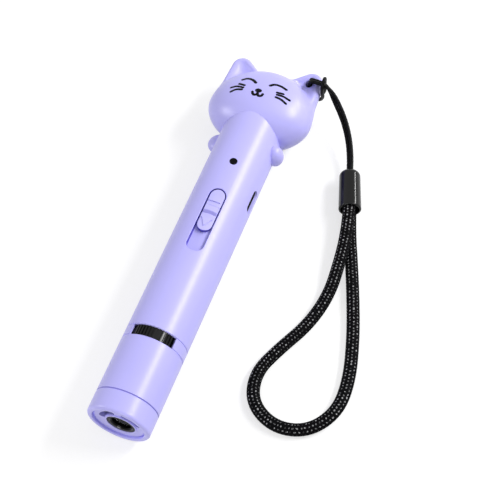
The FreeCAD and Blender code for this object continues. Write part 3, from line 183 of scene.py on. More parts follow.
def carve(obj: bpy.types.Object, cutters: Iterable[bpy.types.Object]) -> None:
    """Cut other objects out of one, and throw the cutters away.

    Args:
        obj: what is cut.
        cutters: what cuts it.
    """
    for cutter in cutters:
        cut = obj.modifiers.new("cut", "BOOLEAN")
        cut.operation = "DIFFERENCE"
        cut.solver = "EXACT"
        cut.object = cutter
        apply_modifiers(obj)
        bpy.data.objects.remove(cutter, do_unlink=True)


def dress(obj: bpy.types.Object, material: bpy.types.Material) -> None:
    """Give an object one material.

    Args:
        obj: the object to dress.
        material: what it wears in every slot.
    """
    if not obj.material_slots:
        obj.data.materials.append(material)
    for slot in obj.material_slots:
        slot.material = material


def maths(tree: bpy.types.NodeTree, kind: str, *terms: object) -> object:
    """One sum on numbers or links.

    Args:
        tree: the node tree that it goes into.
        kind: the sum's name.
        terms: numbers, or outputs of other nodes.

    Returns:
        The result's output.
    """
    node = tree.nodes.new("ShaderNodeMath")
    node.operation = kind
    for socket, term in zip(node.inputs, terms):
        if isinstance(term, (int, float)):
            socket.default_value = term
        else:
            tree.links.new(term, socket)
    return node.outputs[0]


# Finishes


class Recipe:
    """A node material around one surface shader, built step by step."""

    def __init__(self, name: str) -> None:
        """Start an empty material with its surface shader.

        Args:
            name: the material's name.
        """
        self.material = bpy.data.materials.new(name)
        self.material.use_nodes = True
        self.tree = self.material.node_tree
        self.tree.nodes.clear()
        out = self.tree.nodes.new("ShaderNodeOutputMaterial")
        self.shader = self.tree.nodes.new("ShaderNodeBsdfPrincipled")
        self.tree.links.new(self.shader.outputs[0], out.inputs["Surface"])
        self.place = self.tree.nodes.new("ShaderNodeTexCoord").outputs["Object"]

    def set(self, **values: object) -> None:
        """Set the shader's own sockets; an underscore in a name stands for a space."""
        for name, value in values.items():
            self.shader.inputs[name.replace("_", " ")].default_value = value

    def feed(self, source: object, socket: str) -> None:
        """Link a value to one of the shader's sockets."""
        self.tree.links.new(source, self.shader.inputs[socket])

    def maths(self, kind: str, *terms: object) -> object:
        """One sum on numbers or links in this material."""
        return maths(self.tree, kind, *terms)

    def parts(self, place: object) -> Sequence[object]:
        """The three parts of a place.

        Args:
            place: an output that gives a place.

        Returns:
            Its x, y and z outputs.
        """
        split = self.tree.nodes.new("ShaderNodeSeparateXYZ")
        self.tree.links.new(place, split.inputs[0])
        return split.outputs

    def length(self, first: object, second: object) -> object:
        """The length of two parts at a right angle."""
        return self.maths("SQRT", self.maths("ADD", self.maths("MULTIPLY", first, first),
                                             self.maths("MULTIPLY", second, second)))

    def away(self, value: object, middle: float) -> object:
        """How far a value is from a middle."""
        return self.maths("ABSOLUTE", self.maths("SUBTRACT", value, middle))

    def below(self, value: object, edge: float, soft: float, most: float = 1.0) -> object:
        """A mask that is `most` under an edge and 0 past it, with a soft step of half width `soft`."""
        return self.span(value, edge - soft, edge + soft, most, 0.0)

    def within(self, value: object, band: tuple[float, float], soft: float, most: float = 1.0) -> object:
        """A mask that is `most` within a band and 0 outside it, with soft steps."""
        low, high = band
        return self.maths("MULTIPLY", self.span(value, low - soft, low + soft),
                          self.below(value, high, soft, most))

    def noise(self, scale: float, detail: float = 3.0, place: object = None,
              stretch: Point = (1.0, 1.0, 1.0)) -> object:
        """A cloudy pattern.

        Args:
            scale: features for each metre.
            detail: how many finer layers it has.
            place: the coordinates, or the piece's own.
            stretch: factors for the three directions.

        Returns:
            Its value, 0 to 1.
        """
        node = self.tree.nodes.new("ShaderNodeTexNoise")
        for name, value in (("Scale", scale), ("Detail", detail), ("Roughness", 0.55)):
            node.inputs[name].default_value = value
        mapping = self.tree.nodes.new("ShaderNodeMapping")
        mapping.inputs["Scale"].default_value = stretch
        self.tree.links.new(place or self.place, mapping.inputs[0])
        self.tree.links.new(mapping.outputs[0], node.inputs["Vector"])
        return node.outputs["Fac"]

    def span(self, source: object, low: float, high: float,
             out_low: float = 0.0, out_high: float = 1.0, smooth: bool = False) -> object:
        """Spread a value from one range to another.

        Args:
            source: the value.
            low, high: the range it has.
            out_low, out_high: the range it gets.
            smooth: ease in and out.

        Returns:
            The new value.
        """
        node = self.tree.nodes.new("ShaderNodeMapRange")
        node.interpolation_type = "SMOOTHSTEP" if smooth else "LINEAR"
        for socket, value in {"From Min": low, "From Max": high,
                              "To Min": out_low, "To Max": out_high}.items():
            node.inputs[socket].default_value = value
        self.tree.links.new(source, node.inputs["Value"])
        return node.outputs[0]

    def blend(self, share: object, first: object, second: object) -> object:
        """Mix two colours by a share.

        Args:
            share: 0 for the first, 1 for the second.
            first, second: colours, or outputs of other nodes.

        Returns:
            The mixed colour.
        """
        node = self.tree.nodes.new("ShaderNodeMix")
        node.data_type = "RGBA"
        self.tree.links.new(share, node.inputs[0])
        for socket, value in ((node.inputs[6], first), (node.inputs[7], second)):
            if isinstance(value, tuple):
                socket.default_value = value
            else:
                self.tree.links.new(value, socket)
        return node.outputs[2]

    def colour(self, share: object, first: object, second: object) -> None:
        """Feed the base colour with a mix of two colours."""
        self.feed(self.blend(share, first, second), "Base Color")

    def gloss(self, cloud: object, levels: tuple[float, float], band: tuple[float, float] = CLOUD) -> None:
        """Feed the roughness from a cloudy pattern, between two levels."""
        self.feed(self.span(cloud, *band, *levels), "Roughness")

    def relief(self, height: object, distance: float, strength: float) -> None:
        """Turn a height into a bump of the surface.

        Args:
            height: the height, 0 to 1.
            distance: metres for a height of 1.
            strength: how much of it counts.
        """
        node = self.tree.nodes.new("ShaderNodeBump")
        node.inputs["Distance"].default_value = distance
        node.inputs["Strength"].default_value = strength
        self.tree.links.new(height, node.inputs["Height"])
        self.feed(node.outputs[0], "Normal")


@dataclass(frozen=True)
class Surface:
    """A finish: its material's name, its colour on a screen, and how the material is laid out."""

    name: str
    colour: Point

    def make(self) -> bpy.types.Material:
        """Build the material.

        Returns:
            The material.
        """
        recipe = Recipe(self.name)
        self.fill(recipe)
        return recipe.material

    def fill(self, recipe: Recipe) -> None:
        """Lay out the material; each kind of finish has its own way."""
        raise NotImplementedError


@dataclass(frozen=True)
class MouldedPlastic(Surface):
    """Injection-moulded plastic with a fine tool grain and a slight drift in shade and gloss."""

    drift: float = 0.02
    roughness: tuple[float, float] = (0.26, 0.34)
    grain_scale: float = 4200.0
    grain_depth: float = 0.000004
    edge_of_light: float = 0.5
    drift_scale: float = 70.0
    gloss_scale: float = 650.0
    coat_roughness: float = 0.08

    def deepened(self, recipe: Recipe, colour: object) -> object:
        """The colour with its painted shade; plain plastic has none."""
        return colour

    def fill(self, recipe: Recipe) -> None:
        """Lay out the material.

        Args:
            recipe: the material in the making.
        """
        colour = recipe.blend(recipe.noise(self.drift_scale, detail=2.0), tint(self.colour, 1 - self.drift),
                              tint(self.colour, 1 + self.drift))
        recipe.feed(self.deepened(recipe, colour), "Base Color")
        recipe.gloss(recipe.noise(self.gloss_scale, detail=4.0), self.roughness)
        recipe.set(Specular_IOR_Level=self.edge_of_light, Coat_Roughness=self.coat_roughness)
        recipe.relief(recipe.noise(self.grain_scale, detail=2.0), self.grain_depth, strength=0.6)


@dataclass(frozen=True)
class SlottedPlastic(MouldedPlastic):
    """Housing plastic with painted shade on the walls of the switch slot and in seams, where shade falls.

    The slot is a round-ended one about a line on the barrel, and each seam is a y, half a width and a
    strength. Both reach up to a radius about the barrel's axis.
    """

    # The colour of the painted shade.
    painted_shade: Point = (84, 74, 190)
    axis_height: float = 0.011
    turn: float = 9.0
    slot_half: float = 0.003075
    slot_straight: float = 0.010025
    slot_middle: float = -0.0007
    slot_band: tuple[float, float] = (-0.0003, 0.0002)
    slot_top: float = 0.01072
    seams: tuple[Point, ...] = ((-0.0692, 0.0003, 0.5),)
    seams_top: float = 0.01096
    soft: float = 0.00008

    def deepened(self, recipe: Recipe, colour: object) -> object:
        """The colour, with painted shade on the slot's walls and in the seams.

        Args:
            recipe: the material in the making.
            colour: the plastic's colour.

        Returns:
            The colour to use.
        """
        x, y, z = recipe.parts(recipe.place)
        high = recipe.maths("SUBTRACT", z, self.axis_height)
        angle = math.radians(self.turn)
        across = recipe.maths("SUBTRACT", recipe.maths("MULTIPLY", x, math.cos(angle)),
                              recipe.maths("MULTIPLY", high, math.sin(angle)))
        out = recipe.length(x, high)
        past = recipe.maths("SUBTRACT", recipe.away(y, self.slot_middle), self.slot_straight)
        edge = recipe.maths("SUBTRACT", recipe.length(across, recipe.maths("MAXIMUM", past, 0.0)),
                            self.slot_half)
        # Painted shade on the slot's walls and in each seam, below their top radii.
        painted_shade = recipe.maths("MULTIPLY", recipe.within(edge, self.slot_band, self.soft),
                            recipe.below(out, self.slot_top, self.soft))
        under = recipe.below(out, self.seams_top, self.soft / 2)
        for middle, half, strength in self.seams:
            seam = recipe.below(recipe.away(y, middle), half, self.soft, strength)
            painted_shade = recipe.maths("MAXIMUM", painted_shade, recipe.maths("MULTIPLY", under, seam))
        return recipe.blend(painted_shade, colour, linear(self.painted_shade))


@dataclass(frozen=True)
class PolishedMouth(MouldedPlastic):
    """Satin black plastic with a polished band in its bevelled mouth, about an axis along the pen."""

    mouth_middle: tuple[float, float] = (0.00085, 0.011)
    mouth_band: tuple[float, float] = (0.0039, 0.00415)
    polish: float = 0.5
    soft: float = 0.00005

    def deepened(self, recipe: Recipe, colour: object) -> object:
        """Feed the polish of the mouth, and leave the colour as it is.

        Args:
            recipe: the material in the making.
            colour: the plastic's colour.

        Returns:
            The same colour.
        """
        x, _, z = recipe.parts(recipe.place)
        middle, height = self.mouth_middle
        out = recipe.length(recipe.maths("SUBTRACT", x, middle), recipe.maths("SUBTRACT", z, height))
        recipe.feed(recipe.within(out, self.mouth_band, self.soft, self.polish), "Coat Weight")
        return colour


@dataclass(frozen=True)
class ClearPlastic(Surface):
    """Clear or tinted plastic with faint waves, for the lens, the window and the films."""

    clarity: float = 0.95
    roughness: float = 0.04
    uneven: float = 0.03
    bend: float = 1.49
    haze_scale: float = 900.0
    haze_tint: float = 0.97
    wave_scale: float = 400.0
    wave_depth: float = 0.000003

    def fill(self, recipe: Recipe) -> None:
        """Lay out the material.

        Args:
            recipe: the material in the making.
        """
        haze = recipe.noise(self.haze_scale)
        recipe.colour(haze, linear(self.colour), tint(self.colour, self.haze_tint))
        recipe.gloss(haze, (self.roughness, self.roughness + self.uneven))
        recipe.set(Transmission_Weight=self.clarity, IOR=self.bend)
        recipe.relief(recipe.noise(self.wave_scale, detail=1.0), self.wave_depth, strength=0.3)


@dataclass(frozen=True)
class WorkedMetal(Surface):
    """Drawn or stamped metal with fine lines along the pen and dull patches."""

    roughness: tuple[float, float] = (0.22, 0.4)
    line_scale: float = 9000.0
    line_stretch: Point = (1, 0.04, 1)
    line_depth: float = 0.000004
    dull_scale: float = 500.0
    dull_tint: float = 0.8
    dull_band: tuple[float, float] = (0.1, 0.4)

    def fill(self, recipe: Recipe) -> None:
        """Lay out the material.

        Args:
            recipe: the material in the making.
        """
        lines = recipe.noise(self.line_scale, detail=2.0, stretch=self.line_stretch)
        dull = recipe.noise(self.dull_scale, detail=4.0)
        recipe.colour(dull, linear(self.colour), tint(self.colour, self.dull_tint))
        recipe.gloss(recipe.maths("MULTIPLY", lines, dull), self.roughness, self.dull_band)
        recipe.set(Metallic=1.0)
        recipe.relief(lines, self.line_depth, strength=0.5)


@dataclass(frozen=True)
class CircuitLaminate(Surface):
    """Glass laminate under solder mask, with faint copper tracks under it."""

    roughness: tuple[float, float] = (0.28, 0.42)
    gloss_scale: float = 1200.0
    track_scale: float = 420.0
    track_gap: float = 0.03
    track_tint: float = 1.35
    track_depth: float = 0.00002

    def fill(self, recipe: Recipe) -> None:
        """Lay out the material.

        Args:
            recipe: the material in the making.
        """
        tracks = recipe.tree.nodes.new("ShaderNodeTexBrick")
        tracks.inputs["Scale"].default_value = self.track_scale
        tracks.inputs["Mortar Size"].default_value = self.track_gap
        recipe.tree.links.new(recipe.place, tracks.inputs["Vector"])
        lines = tracks.outputs["Fac"]
        recipe.colour(lines, linear(self.colour), tint(self.colour, self.track_tint))
        recipe.gloss(recipe.noise(self.gloss_scale), self.roughness)
        recipe.relief(lines, self.track_depth, strength=0.7)


@dataclass(frozen=True)
class CellFoam(Surface):
    """Closed-cell foam with small pores, with painted shade in the pores."""

    roughness: float = 0.9
    pore_scale: float = 2600.0
    pore_painted_shade: float = 0.7
    pore_depth: float = 0.00008

    def fill(self, recipe: Recipe) -> None:
        """Lay out the material.

        Args:
            recipe: the material in the making.
        """
        pores = recipe.tree.nodes.new("ShaderNodeTexVoronoi")
        pores.inputs["Scale"].default_value = self.pore_scale
        recipe.tree.links.new(recipe.place, pores.inputs["Vector"])
        hole = pores.outputs["Distance"]
        # Painted shade: darker in the middle of each pore.
        recipe.colour(hole, tint(self.colour, self.pore_painted_shade), linear(self.colour))
        recipe.set(Roughness=self.roughness)
        recipe.relief(hole, self.pore_depth, strength=0.8)


@dataclass(frozen=True)
class LampResin(Surface):
    """A lamp body: clear resin over a yellow or violet die, unlit."""

    roughness: tuple[float, float] = (0.08, 0.16)
    clarity: float = 0.45
    bend: float = 1.5
    cloud_scale: float = 1500.0
    cloud_tint: float = 0.85

    def fill(self, recipe: Recipe) -> None:
        """Lay out the material.

        Args:
            recipe: the material in the making.
        """
        cloud = recipe.noise(self.cloud_scale, detail=2.0)
        recipe.colour(cloud, linear(self.colour), tint(self.colour, self.cloud_tint))
        recipe.gloss(cloud, self.roughness)
        recipe.set(Transmission_Weight=self.clarity, IOR=self.bend)


@dataclass(frozen=True)
class PadPrint(Surface):
    """The black ink of the face: slightly uneven in gloss, with a soft matt skin."""

    colour: Point = (5, 4, 6)
    thin: Point = (9, 8, 10)
    roughness: tuple[float, float] = (0.42, 0.55)
    edge_of_light: float = 0.1
    patch_scale: float = 1800.0
    skin_scale: float = 6000.0
    skin_depth: float = 0.000003

    def fill(self, recipe: Recipe) -> None:
        """Lay out the material.

        Args:
            recipe: the material in the making.
        """
        patch = recipe.noise(self.patch_scale)
        recipe.colour(patch, linear(self.colour), linear(self.thin))
        recipe.gloss(patch, self.roughness)
        recipe.set(Specular_IOR_Level=self.edge_of_light)
        recipe.relief(recipe.noise(self.skin_scale, detail=2.0), self.skin_depth, strength=0.5)


@dataclass(frozen=True)
class BraidedYarn(Surface):
    """Polyester yarn: near-black, with fibres along the strands.

    A braid also has light tracer flecks in rows along it. Their gaps, pitch and size are in
    millimetres, and the wide flat sides of the cord show them stronger than its edges.
    """

    roughness: float
    edge_of_light: float
    rows: int = 0
    turn: float = 0.23
    fleck: Point = (176, 176, 178)
    fleck_size: float = 0.27
    row_gap: float = 1.22
    pitch: float = 1.25
    fleck_rim: tuple[float, float] = (0.45, 1.25)
    stray: float = 0.22
    stray_scale: float = 900.0
    worn_scale: float = 1100.0
    worn_band: tuple[float, float] = (0.38, 0.62)
    worn_least: float = 0.05
    edge_band: tuple[float, float] = (0.72, 0.95)
    edge_share: float = 0.15
    fibre_scale: float = 2400.0
    fibre_tint: float = 1.9
    fibre_stretch: Point = (9.0, 60.0, 1.0)
    fibre_depth: float = 0.00006

    def flecks(self, recipe: Recipe, along: object, around: object) -> object:
        """Where the tracer flecks show.

        Args:
            recipe: the material in the making.
            along: place along the cord in pitches.
            around: place round the cord in turns.

        Returns:
            A mask, 1 in the middle of a fresh fleck on a flat side.
        """
        lane = recipe.maths("MULTIPLY_ADD", around, float(self.rows), self.turn)
        number = recipe.maths("FLOOR", lane)
        side = self.from_middle(recipe, lane, self.row_gap)
        stray = recipe.span(recipe.noise(self.stray_scale, detail=1.0), *CLOUD, -self.stray, self.stray)
        step = recipe.maths("ADD", recipe.maths("MULTIPLY_ADD", number, 0.5, along), stray)
        far = recipe.length(side, self.from_middle(recipe, step, self.pitch))
        core, rim = (self.fleck_size * part for part in self.fleck_rim)
        dot = recipe.span(far, core, rim, 1.0, 0.0, smooth=True)
        worn = recipe.span(recipe.noise(self.worn_scale, detail=2.0), *self.worn_band, self.worn_least, 1.0)
        edge = recipe.maths("ABSOLUTE", recipe.maths("COSINE", recipe.maths("MULTIPLY", around, math.tau)))
        flat = recipe.span(edge, *self.edge_band, 1.0, self.edge_share)
        return recipe.maths("MULTIPLY", dot, recipe.maths("MULTIPLY", worn, flat))

    @staticmethod
    def from_middle(recipe: Recipe, value: object, size: float) -> object:
        """How far a value is from the middle of its cell, for cells of a given size."""
        return recipe.maths("MULTIPLY", recipe.maths("SUBTRACT", recipe.maths("FRACT", value), 0.5), size)

    def fill(self, recipe: Recipe) -> None:
        """Lay out the material; it follows the piece's weave map, along in pitches and round in turns.

        Args:
            recipe: the material in the making.
        """
        weave = recipe.tree.nodes.new("ShaderNodeUVMap")
        weave.uv_map = "weave"
        along, around, _ = recipe.parts(weave.outputs[0])
        colour = recipe.blend(recipe.noise(self.fibre_scale), linear(self.colour),
                              tint(self.colour, self.fibre_tint))
        if self.rows:
            colour = recipe.blend(self.flecks(recipe, along, around), colour, linear(self.fleck))
        recipe.feed(colour, "Base Color")
        recipe.set(Roughness=self.roughness, Specular_IOR_Level=self.edge_of_light)
        fibres = recipe.noise(1.0, detail=2.0, place=weave.outputs[0], stretch=self.fibre_stretch)
        recipe.relief(fibres, self.fibre_depth, strength=0.7)


class Finish(Enum):
    """The finishes of the pen, each made once."""

    LILAC = MouldedPlastic("lilac_satin_plastic", (189, 185, 254), 0.012, (0.32, 0.37))
    # Painted shade on the walls of the switch recess and in the cap's seam.
    BARREL_LILAC = SlottedPlastic("barrel_lilac_plastic", (189, 185, 254), 0.012, (0.32, 0.37))
    # The knob's seams are the two feet of its finger ridge, and its slot is its own outline: painted shade
    # on its sides and at the ridge's feet.
    KNOB_LILAC = SlottedPlastic("knob_lilac_plastic", (194, 190, 255), 0.012, (0.34, 0.4),
                                slot_half=0.0026, slot_straight=0.00595, slot_middle=0.00355,
                                slot_band=(-0.0001, 0.0002), slot_top=0.01035,
                                seams=((0.00225, 0.00055, 0.4), (0.00515, 0.0003, 0.2)), seams_top=0.02)
    RING_BLACK = PolishedMouth("ring_gloss_black", (6, 6, 6), 0.1, (0.12, 0.18), edge_of_light=0.06)
    BEAD_BLACK = MouldedPlastic("bead_gloss_black", (5, 5, 6), 0.1, (0.13, 0.17), 9000.0, 0.000002, 0.28)
    WHEEL_BLACK = MouldedPlastic("wheel_satin_black", (6, 6, 6), 0.1, (0.08, 0.14), edge_of_light=0.24)
    DOT_BLACK = MouldedPlastic("dot_smoked_black", (3, 3, 4), 0.1, (0.3, 0.4), edge_of_light=0.08)
    GREY = MouldedPlastic("inner_grey_plastic", (96, 98, 104), 0.04, (0.4, 0.5))
    PORT_BLACK = MouldedPlastic("port_tongue_black", (16, 16, 18), 0.08, (0.4, 0.5), edge_of_light=0.2)
    LENS = ClearPlastic("lens_clear", (250, 250, 252))
    FILM = ClearPlastic("film_smoke", (120, 120, 126), 0.8, 0.1)
    BRASS = WorkedMetal("housing_brass", (214, 180, 112))
    STEEL = WorkedMetal("shell_steel", (196, 196, 200))
    BOARD = CircuitLaminate("board_green_mask", (24, 96, 62))
    CHIP = MouldedPlastic("chip_epoxy", (30, 30, 32), 0.08, (0.45, 0.6))
    CELL = MouldedPlastic("cell_shrink_wrap", (70, 120, 176), 0.05, (0.2, 0.32), 1500.0, 0.00001)
    FOAM = CellFoam("pad_foam", (64, 64, 68))
    WHITE_LAMP = LampResin("lamp_white_resin", (250, 240, 190))
    VIOLET_LAMP = LampResin("lamp_violet_resin", (196, 178, 250))
    INK = PadPrint("face_ink")
    CORD = BraidedYarn("tether_yarn", (3, 3, 4), 0.36, 0.09)
    BRAID = BraidedYarn("loop_yarn", (2, 2, 3), 0.6, 0.04, rows=10)

    def material(self) -> bpy.types.Material:
        """The finish's material, made on its first use."""
        return bpy.data.materials.get(self.value.name) or self.value.make()


# Studio


@dataclass
class Lamp:
    """One softbox: where it stands, what it faces, its two sides and its power."""

    name: str
    place: Point
    aim: Point
    size: tuple[float, float]
    power: float
    along: Point = (0.0, 1.0, 0.0)

    def set_up(self) -> None:
        """Add the lamp; the second of its sides follows the given direction."""
        light = bpy.data.lights.new(self.name, "AREA")
        light.shape = "RECTANGLE"
        light.size, light.size_y = self.size
        light.energy = self.power
        stand = bpy.data.objects.new(self.name, light)
        bpy.context.scene.collection.objects.link(stand)
        back = (Vector(self.place) - Vector(self.aim)).normalized()
        side = Vector(self.along).cross(back).normalized()
        turn = Matrix((side, back.cross(side), back)).transposed()
        stand.matrix_world = Matrix.Translation(Vector(self.place)) @ turn.to_4x4()


@dataclass
class Studio:
    """A pale floor, soft light and the camera, which looks from where the photograph was taken."""

    camera_place: Point = (0.14654, -0.21960, 0.39854)
    camera_right: Point = (0.92733, 0.35792, -0.10929)
    camera_down: Point = (0.24822, -0.80682, -0.53613)
    lens: float = 97.2
    sensor: float = 36.0
    clip: tuple[float, float] = (0.01, 20.0)
    sky: float = 0.335
    floor_grey: float = 0.45
    floor_lift: float = 0.65
    floor_size: float = 6.0
    floor_drop: float = 0.00005
    lamps: list[Lamp] = field(default_factory=lambda: [
        Lamp("key_strip", (0.455, 0.28, 0.45), (0.0, 0.0, 0.015), (0.14, 0.42), 3.5),
        Lamp("bead_strip", (0.39, 0.58, 0.27), (0.038, 0.036, 0.004), (0.04, 0.14), 0.8,
             (0.323, -0.946, 0.0)),
        Lamp("top_box", (0.25, 0.1, 0.75), (0.0, 0.0, 0.0), (0.55, 0.55), 0.45),
        Lamp("left_box", (-0.5, -0.18, 0.27), (0.0, 0.04, 0.015), (0.16, 0.16), 1.1),
        Lamp("front_box", (0.04, -0.37, 0.07), (0.0, -0.077, 0.011), (0.12, 0.08), 0.27, (0.0, 0.0, 1.0)),
    ])

    def shown(self, tree: bpy.types.NodeTree) -> object:
        """Tell what is looked at from what gives light.

        Args:
            tree: the node tree that it goes into.

        Returns:
            A value that is 1 for the camera, mirrors and glass, and 0 for plain light.
        """
        rays = tree.nodes.new("ShaderNodeLightPath").outputs
        seen = maths(tree, "MAXIMUM", rays["Is Camera Ray"], rays["Is Glossy Ray"])
        return maths(tree, "MAXIMUM", seen, rays["Is Transmission Ray"])

    def build_sky(self) -> None:
        """White to look at, softer as light."""
        world = bpy.data.worlds.new("studio_white")
        bpy.context.scene.world = world
        world.use_nodes = True
        tree = world.node_tree
        back = tree.nodes["Background"]
        back.inputs["Color"].default_value = (1, 1, 1, 1)
        level = tree.nodes.new("ShaderNodeMapRange")
        level.inputs["To Min"].default_value = self.sky
        level.inputs["To Max"].default_value = 1.0
        tree.links.new(self.shown(tree), level.inputs["Value"])
        tree.links.new(level.outputs[0], back.inputs["Strength"])

    def build_floor(self) -> None:
        """A plain pale floor, lifted to white where nothing shades it."""
        bpy.ops.mesh.primitive_plane_add(size=self.floor_size, location=(0, 0, -self.floor_drop))
        floor = bpy.context.active_object
        floor.name = "studio_floor"
        recipe = Recipe("floor_white")
        recipe.set(Base_Color=(*(self.floor_grey,) * 3, 1), Roughness=0.9, Specular_IOR_Level=0.0,
                   Emission_Color=(1, 1, 1, 1))
        recipe.feed(recipe.maths("MULTIPLY", self.shown(recipe.tree), self.floor_lift), "Emission Strength")
        dress(floor, recipe.material)
        floor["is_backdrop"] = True

    def build_camera(self) -> None:
        """Put up the camera."""
        eye = bpy.data.cameras.new("view")
        eye.sensor_width = self.sensor
        eye.lens = self.lens
        eye.clip_start, eye.clip_end = self.clip
        holder = bpy.data.objects.new("view", eye)
        bpy.context.scene.collection.objects.link(holder)
        right = Vector(self.camera_right).normalized()
        up = -Vector(self.camera_down)
        up = (up - right * up.dot(right)).normalized()
        turn = Matrix((right, up, right.cross(up))).transposed()
        holder.matrix_world = Matrix.Translation(Vector(self.camera_place)) @ turn.to_4x4()
        bpy.context.scene.camera = holder

    def build(self) -> None:
        """Put up the whole studio."""
        bpy.context.scene.view_settings.view_transform = "Standard"
        self.build_camera()
        self.build_sky()
        self.build_floor()
        for lamp in self.lamps:
            lamp.set_up()


# Lanyard


@dataclass
class CordLine:
    """A cord's own line: a smooth spline whose controls are the route's points, read at even steps."""

    name: str
    route: list[Point]
    step: float
    fineness: int = 24

    def sampled(self) -> np.ndarray:
        """Read the spline's line at an even spacing.

        Returns:
            The points in millimetres, one row each.
        """
        curve = bpy.data.curves.new(self.name + "_line", "CURVE")
        curve.dimensions = "3D"
        curve.resolution_u = self.fineness
        spline = curve.splines.new("NURBS")
        spline.points.add(len(self.route) - 1)
        for point, place in zip(spline.points, self.route):
            point.co = (*place, 1.0)
        spline.order_u = 3
        spline.use_endpoint_u = True
        guide = bpy.data.objects.new(self.name + "_line", curve)
        bpy.context.scene.collection.objects.link(guide)
        bpy.context.view_layer.update()
        mesh = bpy.data.meshes.new_from_object(guide.evaluated_get(bpy.context.evaluated_depsgraph_get()))
        line = np.array([v.co[:] for v in mesh.vertices])
        bpy.data.objects.remove(guide, do_unlink=True)
        bpy.data.curves.remove(curve)
        bpy.data.meshes.remove(mesh)
        run = np.r_[0, np.cumsum(np.linalg.norm(np.diff(line, axis=0), axis=1))]
        marks = np.linspace(0, run[-1], int(round(run[-1] / self.step)) + 1)
        return np.stack([np.interp(marks, run, line[:, axis]) for axis in range(3)], 1)


@dataclass
class Braid:
    """A braided tube round a cord's line; a level one is flat and keeps its wide side level."""

    line: CordLine
    half_wide: float
    half_high: float
    strands: int
    pitch: float
    depth: float
    around: int
    level: bool
    under: float = 0.45

    def axes(self, line: np.ndarray) -> tuple[np.ndarray, np.ndarray]:
        """The two directions across the line at each point.

        Args:
            line: the line's points.

        Returns:
            The wide and the high direction.
        """
        ahead = np.gradient(line, axis=0)
        ahead /= np.linalg.norm(ahead, axis=1)[:, None]
        if self.level:
            wide = np.cross(ahead, (0.0, 0.0, 1.0))
            wide /= np.linalg.norm(wide, axis=1)[:, None]
        else:
            wide = np.zeros_like(ahead)
            last = np.cross(ahead[0], (0.0, 0.0, 1.0))
            for number, way in enumerate(ahead):
                last = last - way * (last @ way)
                last = last / np.linalg.norm(last)
                wide[number] = last
        return wide, np.cross(wide, ahead)

    def relief(self, along: np.ndarray, turn: np.ndarray) -> np.ndarray:
        """How far the strands stand up, 0 to 1.

        Args:
            along: place along the cord in pitches.
            turn: place round the cord in turns.

        Returns:
            The height of the strand on top.
        """
        first, second = along + turn * self.strands, along - turn * self.strands
        over = (np.floor(first) + np.floor(second)) % 2
        def arch(at: np.ndarray) -> np.ndarray:
            """A strand's round back."""
            return np.sqrt(np.clip(1 - (2 * (at % 1) - 1) ** 2, 0, 1))
        up, down = arch(first), arch(second)
        return np.where(over == 0, np.maximum(up, down * self.under), np.maximum(down, up * self.under))

    def build(self) -> tuple[bpy.types.Object, np.ndarray]:
        """Make the tube with closed ends and its weave map.

        Returns:
            The object, and the line that it follows in metres.
        """
        line = self.line.sampled()
        wide, high = self.axes(line)
        rings, count = len(line), self.around
        along = np.arange(rings) * np.linalg.norm(line[1] - line[0]) / self.pitch
        turn = np.arange(count) / count
        grid_along, grid_turn = np.meshgrid(along, turn, indexing="ij")
        swell = 1 - self.depth * (1 - self.relief(grid_along, grid_turn))
        angle = math.tau * grid_turn
        out_wide = np.cos(angle) * self.half_wide * swell
        out_high = np.sin(angle) * self.half_high * swell
        points = (line[:, None, :] + wide[:, None, :] * out_wide[..., None]
                  + high[:, None, :] * out_high[..., None]).reshape(-1, 3)
        points = np.vstack([points, line[:1], line[-1:]])
        row = np.arange(rings - 1)[:, None] * count
        here = np.arange(count)[None, :]
        nxt = (here + 1) % count
        sides = np.stack([row + here, row + nxt, row + count + nxt, row + count + here], -1).reshape(-1, 4)
        start, end, last = rings * count, rings * count + 1, (rings - 1) * count
        faces = [tuple(face) for face in sides.tolist()]
        faces += [(start, int(b), int(a)) for a, b in zip(here[0], nxt[0])]
        faces += [(end, int(last + a), int(last + b)) for a, b in zip(here[0], nxt[0])]
        mesh = bpy.data.meshes.new(self.line.name)
        mesh.from_pydata((points * MM).tolist(), [], faces)
        self.spread_weave(mesh, along, turn)
        mesh.shade_smooth()
        mesh.validate()
        obj = bpy.data.objects.new(self.line.name, mesh)
        bpy.context.scene.collection.objects.link(obj)
        take(obj)
        bpy.ops.object.mode_set(mode="EDIT")
        bpy.ops.mesh.select_all(action="SELECT")
        bpy.ops.mesh.normals_make_consistent(inside=False)
        bpy.ops.object.mode_set(mode="OBJECT")
        return obj, line * MM

    @staticmethod
    def spread_weave(mesh: bpy.types.Mesh, along: np.ndarray, turn: np.ndarray) -> None:
        """Give the tube's sides their weave map; the ends stay at its corner.

        Args:
            mesh: the tube, its sides first.
            along: each ring's place along the cord in pitches.
            turn: each column's place round the cord in turns.
        """
        rings, count = len(along), len(turn)
        start, end = (np.repeat(part, count) for part in (along[:-1], along[1:]))
        here = np.tile(turn, rings - 1)
        past = here + 1 / count
        sides = np.stack([start, here, start, past, end, past, end, here], 1).reshape(-1, 2)
        wanted = np.zeros((len(mesh.loops), 2), np.float32)
        wanted[:len(sides)] = sides
        mesh.uv_layers.new(name="weave").data.foreach_set("uv", wanted.ravel())


